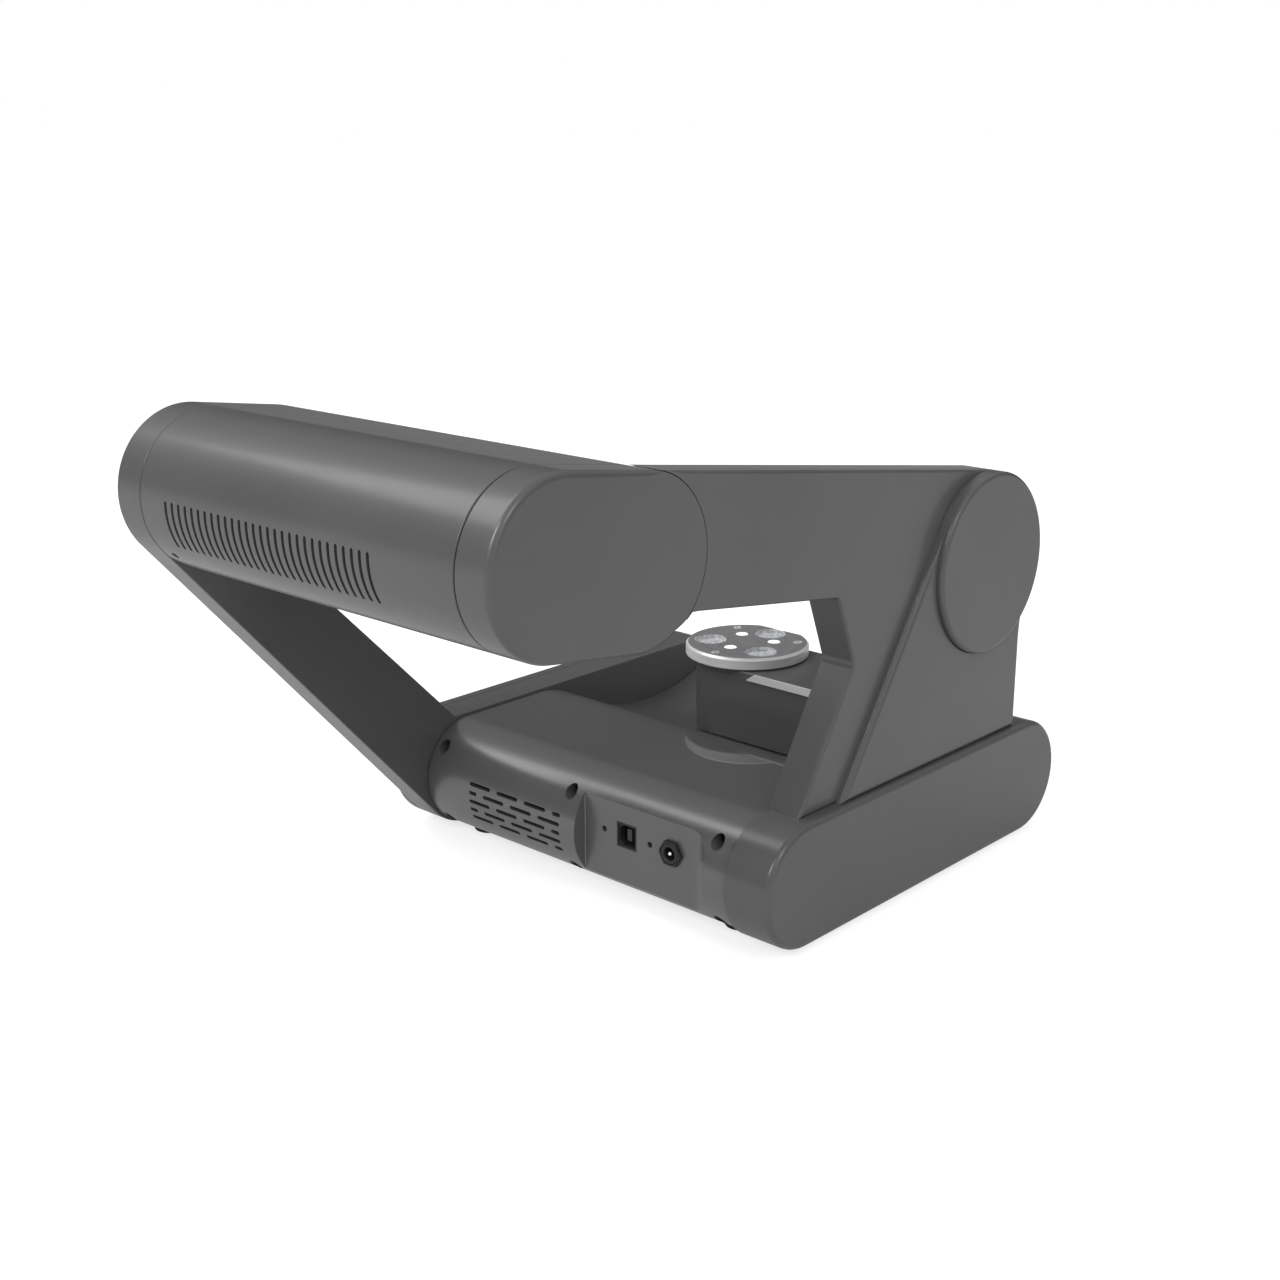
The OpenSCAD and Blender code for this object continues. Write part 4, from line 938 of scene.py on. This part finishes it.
def buildTable(s):
    # a plate with a flat, less its recesses, and the turned pieces that sit in them
    centre, low = tableAt, tableTop - s.thick
    half = math.degrees(math.acos(s.flat / s.r))
    plan = tidied(arc(centre, s.r, -90 + half, 270 - half, 2.0))
    plate = loft("turntable", [layOn(onZ, z, inset(plan, d) if d else plan) for z, d in (
        (low, s.foot), (low + s.foot, 0), (tableTop - s.chamfer, 0), (tableTop, s.chamfer))])
    cutters = [recess(s.cupRing, a, s.cupR, s.cupDeep, s.cupEdge, 64) for a in s.cupTurns]
    holeR, holeDeep = s.threadHole
    for a in s.magnetTurns:
        cutters += [recess(s.magnetRing, a, s.magnetR + s.play, s.magnetDeep, s.edge, 40),
            recess(s.screwRing, a, s.screwR + s.play, s.screwDeep, s.edge, 40),
            onTable("cutter", s.screwRing, a, [(holeR, holeDeep), (holeR, -1)], 20)]
    dress(cutAway(plate, *cutters), "table", "turntable", body="table")
    # the side and its chamfer are painted brighter than the top, a painted reflection
    dressSecond(plate, "tableRimPaintedReflection", lambda middle, normal: (
        np.linalg.norm(middle[:2] - centre) > s.rimFrom and normal.z < s.rimLevel))
    # polished linings of the three cups, thin dishes with a domed floor and a rolled lip
    r, deep = s.cupR - s.cupPlay, s.cupDeep
    floor = [(share * r, rise - deep) for share, rise in ((0.0, 1.1), (0.35, 1.05), (0.6, 0.85), (0.8, 0.5))]
    bowl = floor + [(r - 0.9, -deep + 0.15), (r - 0.4, -deep + 0.3), (r - 0.25, -deep + 0.8), (r - 0.2, -0.3),
        (r - 0.1, -0.12), (r, -0.3), (r, -deep), (0.0, -deep)]
    dress(joined("tableCups", [onTable("cup", s.cupRing, a, bowl, 64) for a in s.cupTurns]), "cup", body="table")
    r, deep = s.magnetR, s.magnetDeep
    stub = [(0.0, -deep), (r, -deep), (r, -s.edge), (r - s.edge, 0), (0.0, 0)]
    magnets = [onTable("whitePaintedGlow", s.magnetRing, a, stub, 40) for a in s.magnetTurns]
    r, t, deep = s.screwR, s.threadR, s.screwDeep
    bolt = [(0.0, -s.thick), (t, -s.thick), (t, -deep), (r, -deep), (r, -s.edge), (r - s.screwEdge, 0), (0.0, 0)]
    key = [(s.keyR, -s.keyDeep), (s.keyR, 1)]
    screws = [cutAway(onTable("screw", s.screwRing, a, bolt, 36), onTable("cutter", s.screwRing, a, key, 6))
        for a in s.magnetTurns]
    # the magnets' white finish glows faintly: painted light
    dress(joined("tableMagnets", magnets), "whitePaintedGlow", "table_magnets", body="table")
    dress(joined("tableScrews", screws), "plateScrew", "table_screws", body="table")


buildTable(tableSet)
print("turntable ready")

# Recessed flat: square socket, power socket with its nut, two pin-hole lights, and a lighter bead at its end, a
# painted highlight
portSet = measures(
    usbLong=16.0, usbWall=1.3, usbCorner=0.5, usbStep=(0.5, 0.7), throat=12, cut=2, corner=0.3,
    tongue=(2.9, 5.8), tongueLong=12.5, mouth=2.2, blade=(0.12, 0.5), bladeAt=(0.08, 1.4), bladeY=(11, 6),
    jackR=5.2, jackBore=3.2, jackLong=16.0, boreDeep=11, jackEdge=(0.4, 0.5),
    nutR=6.75, nutT=2.4, nutEdge=0.45, pinR=0.85, pinFrom=12, pinTip=(1.4, 1.9, 2.1), bareFrom=1.45,
    light=1.4, lightEnds=(3.3, 2.9, 2.8), bead=0.45, beadRim=0.2,
)


def rectangle(centre, a, b, radius):
    # rounded rectangle of half sides a and b
    x, z = centre
    return rounded([(x - a, z - b), (x + a, z - b), (x + a, z + b), (x - a, z + b)], radius)


def buildPorts(s, b):
    # rings one behind the other for socket and nut, turned profiles for jack, pin and lights
    y, z, x = b.panelY, b.portZ, b.usbX
    h, w, c = b.usbS / 2, b.usbS / 2 - s.usbWall, s.cut
    stepOut, stepIn = s.usbStep
    # the square opening has two corners cut off, behind a step round its mouth
    outer, step, inside = onSameRays((x, z), [
        rectangle((x, z), h, h, s.usbCorner), rectangle((x, z), w + stepOut, w + stepOut, s.corner),
        rounded([(x - w, z - w), (x + w - c, z - w), (x + w, z - w + c), (x + w, z + w - c), (x + w - c, z + w),
        (x - w, z + w)], s.corner)])
    case = loft("usbCase", [layOn(onY, y - v, ring) for v, ring in (
        (s.usbLong, outer), (0, outer), (0, step), (stepIn, step), (stepIn, inside), (s.throat, inside))])
    t, v = s.tongue[0] / 2, s.tongue[1] / 2
    ring = rectangle((x, z), t, v, s.corner)
    dress(sweep("usbTongue", ring, y - s.tongueLong, y - s.mouth, onto=onY), "portGrey")
    dress(case, "portBlack", "usb_socket")
    (halfX, halfZ), (off, up), (deep, front) = s.blade, s.bladeAt, s.bladeY
    blades = [boxAt((x + dx - halfX, y - deep, z + dz - halfZ), (x + dx + halfX, y - front, z + dz + halfZ))
        for dx in (-t - off, t + off) for dz in (-up, up)]
    dress(joined("usbContacts", blades), "alloy")

    x, r, bore, nut, (lean, drop) = b.jackX, s.jackR, s.jackBore, s.nutT, s.jackEdge
    back, deep = -s.jackLong, -s.boreDeep
    dress(lathe("jackBody", [(0.0, back), (r, back), (r, nut - drop), (r - lean, nut), (bore + drop, nut),
        (bore, nut - drop), (bore, deep), (0.0, deep)], (x, y, z), rearwards, 56), "portBlack", "power_jack")
    p, foot, (straight, tip, end) = s.pinR, -s.pinFrom, s.pinTip
    profile = [(0.0, foot), (p, foot), (p, straight), (p - 0.3, tip), (0.0, end)]
    # the steel pin is painted black, a painted shade of the bore it sits in; its front tip is white with a faint glow,
    # a painted highlight
    pin = dress(lathe("jackPin", profile, (x, y, z), rearwards, 24), "portBlack", slot="steel")
    dressSecond(pin, "whitePaintedGlow", lambda middle, normal: middle[1] > y + s.bareFrom)
    hexagons = [rounded([polar((x, z), radius, 60 * k) for k in range(6)], 0.5)
        for radius in (s.nutR, s.nutR - 0.5)]
    flats, drawnIn, bored = onSameRays((x, z), [*hexagons, circle((x, z), r + 0.05, 6)])
    dress(loft("jackNut", [layOn(onY, y + v, ring) for v, ring in (
        (0, flats), (nut - s.nutEdge, flats), (nut, drawnIn), (nut, bored), (0, bored))], closed=True),
        "portBlack", "jack_nut")
    r, (edge, shoulder, end) = s.light, s.lightEnds
    pipe = [(0.0, back), (r, back), (r, -edge), (r * 0.6, -shoulder), (0.0, -end)]
    lights = [lathe("light", pipe, (lightX, y, z), rearwards, 24) for lightX in b.lightX]
    dress(joined("statusLights", lights), "lightPipeDark", "status_lights")

    # bead in the corner between the panel and its end wall, as high as the panel lies in the shell; it is lighter than
    # the casing, a painted highlight line
    profile = baseProfile(b, 0)
    heights = profile[profile[:, 0] > y + s.bead + 0.3][:, 1]
    dress(sweep("panelPaintedHighlight", circle((b.panelFar, y), s.bead, 15), heights.min(), heights.max(),
        s.beadRim, s.beadRim, onto=onZ), "bead")


buildPorts(portSet, baseSet)

# Screws in the back with a hexagon key hole, pads under the base and their cross-head screws
smallSet = measures(
    headR=2.4, headH=2.0, headEdge=0.5, shank=(1.4, -10), key=1.3, keyFrom=0.9,
    padR=8.5, padXs=(-86.5, 86.5), padYs=(-153.9, 13.7), padBore=3.4, padHole=1.6, padFloor=2.35,
    padTop=3.95, pinSlot=(0.4, 2, 1.3),
)


def buildSmall(s, b):
    # turned screws, less a hexagon or a cross, and turned pads
    r, h, e, (thin, foot) = s.headR, s.headH, s.headEdge, s.shank
    bolt = [(0.0, foot), (thin, foot), (thin, 0), (r, 0), (r, h - e), (r - e, h), (0.0, h)]
    key = [(s.key, s.keyFrom), (s.key, 3)]
    screws = [cutAway(lathe("screw", bolt, at, rearwards, 32), lathe("cutter", key, at, rearwards, 6))
        for at in [(x, b.screwY, z) for x in b.screwX for z in b.screwZ]]
    dress(joined("baseScrews", screws), "darkScrew", "base_screws")
    r, bore, hole, floor, top = (s[k] for k in ("padR", "padBore", "padHole", "padFloor", "padTop"))
    ring = [(hole, floor), (bore, floor), (bore, 0.3), (bore + 0.3, 0), (r - 1.3, 0), (r - 0.5, 0.25), (r - 0.1, 0.8),
        (r, 1.4), (r, top), (hole, top)]
    bolt = [(0.0, 0.7), (2.2, 0.7), (2.8, 1.1), (2.8, 2.3), (1.5, 2.3), (1.5, 5.7), (0.0, 5.7)]
    narrow, long, deep = s.pinSlot
    pads, pins = [], []
    for x, y in [(x, y) for x in s.padXs for y in s.padYs]:
        pads.append(lathe("pad", ring, (x, y, 0), upright, 56))
        cross = [boxAt((x - a, y - c, 0), (x + a, y + c, deep)) for a, c in ((narrow, long), (long, narrow))]
        pins.append(cutAway(lathe("pin", bolt, (x, y, 0), upright, 32), *cross))
    dress(joined("rubberPads", pads), "rubber", "rubber_pads")
    dress(joined("padScrews", pins), "steel", "pad_screws")


buildSmall(smallSet, baseSet)
print("sockets, screws and pads ready")

# Optics behind the window: front glasses of the projector and of the two cameras, which toe in
opticsSet = measures(projR=7.6, projAt=14.4, camR=5.4, camAt=13.4, spread=60.0, dome=1.5, thick=0.6)


def buildOptics(s):
    # each glass is a disc with a dome, r * sin(a) wide where it is s.dome * cos(a) high
    toe = math.atan2(s.spread, np.linalg.norm([headFront[0] - tableY, headFront[1] - tableTop]))
    glasses = []
    for x, r, at, turn in ((0, s.projR, s.projAt, 0), (-s.spread, s.camR, s.camAt, toe),
            (s.spread, s.camR, s.camAt, -toe)):
        axis = np.array([math.sin(turn), math.cos(turn) * look[0], math.cos(turn) * look[1]])
        side = np.array([0, *aside])
        turns, h = np.linspace(0, math.pi / 2, 7), s.dome
        dome = [(r * math.sin(a), at + h * (math.cos(a) - 1) + h) for a in turns]
        glasses.append(lathe("lens", [(0.0, at - s.thick), (r, at - s.thick)] + dome[::-1],
            (tableX + x, *headFront), (np.cross(side, axis), side, axis), 40))
    dress(joined("lensGlasses", glasses), "lensGlass")


buildOptics(opticsSet)

# Nodes whose CAD shape is shown as it is, by finish
shown = {
    "sheet": ("base_plate", "rear_bracket"), "steel": ("swing_bearings", "swing_shaft", "table_bearing"),
    "belt": ("swing_belt",), "circuit": ("head_board", "port_board", "control_board"),
    "alloy": ("bearing_block", "drive_pulley", "swing_pulley", "table_spindle", "optics_bench", "heat_sink"),
    "motorBlack": ("swing_motor", "table_motor", "projector", "cameras", "fan_rotor"),
    "blackPlastic": ("projector_lens", "camera_lenses", "fan_frame"),
}
for coat, names in shown.items():
    for name in names:
        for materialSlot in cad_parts[name].material_slots:
            materialSlot.material = finish[coat]
print("inner parts dressed:", sum(len(names) for names in shown.values()))
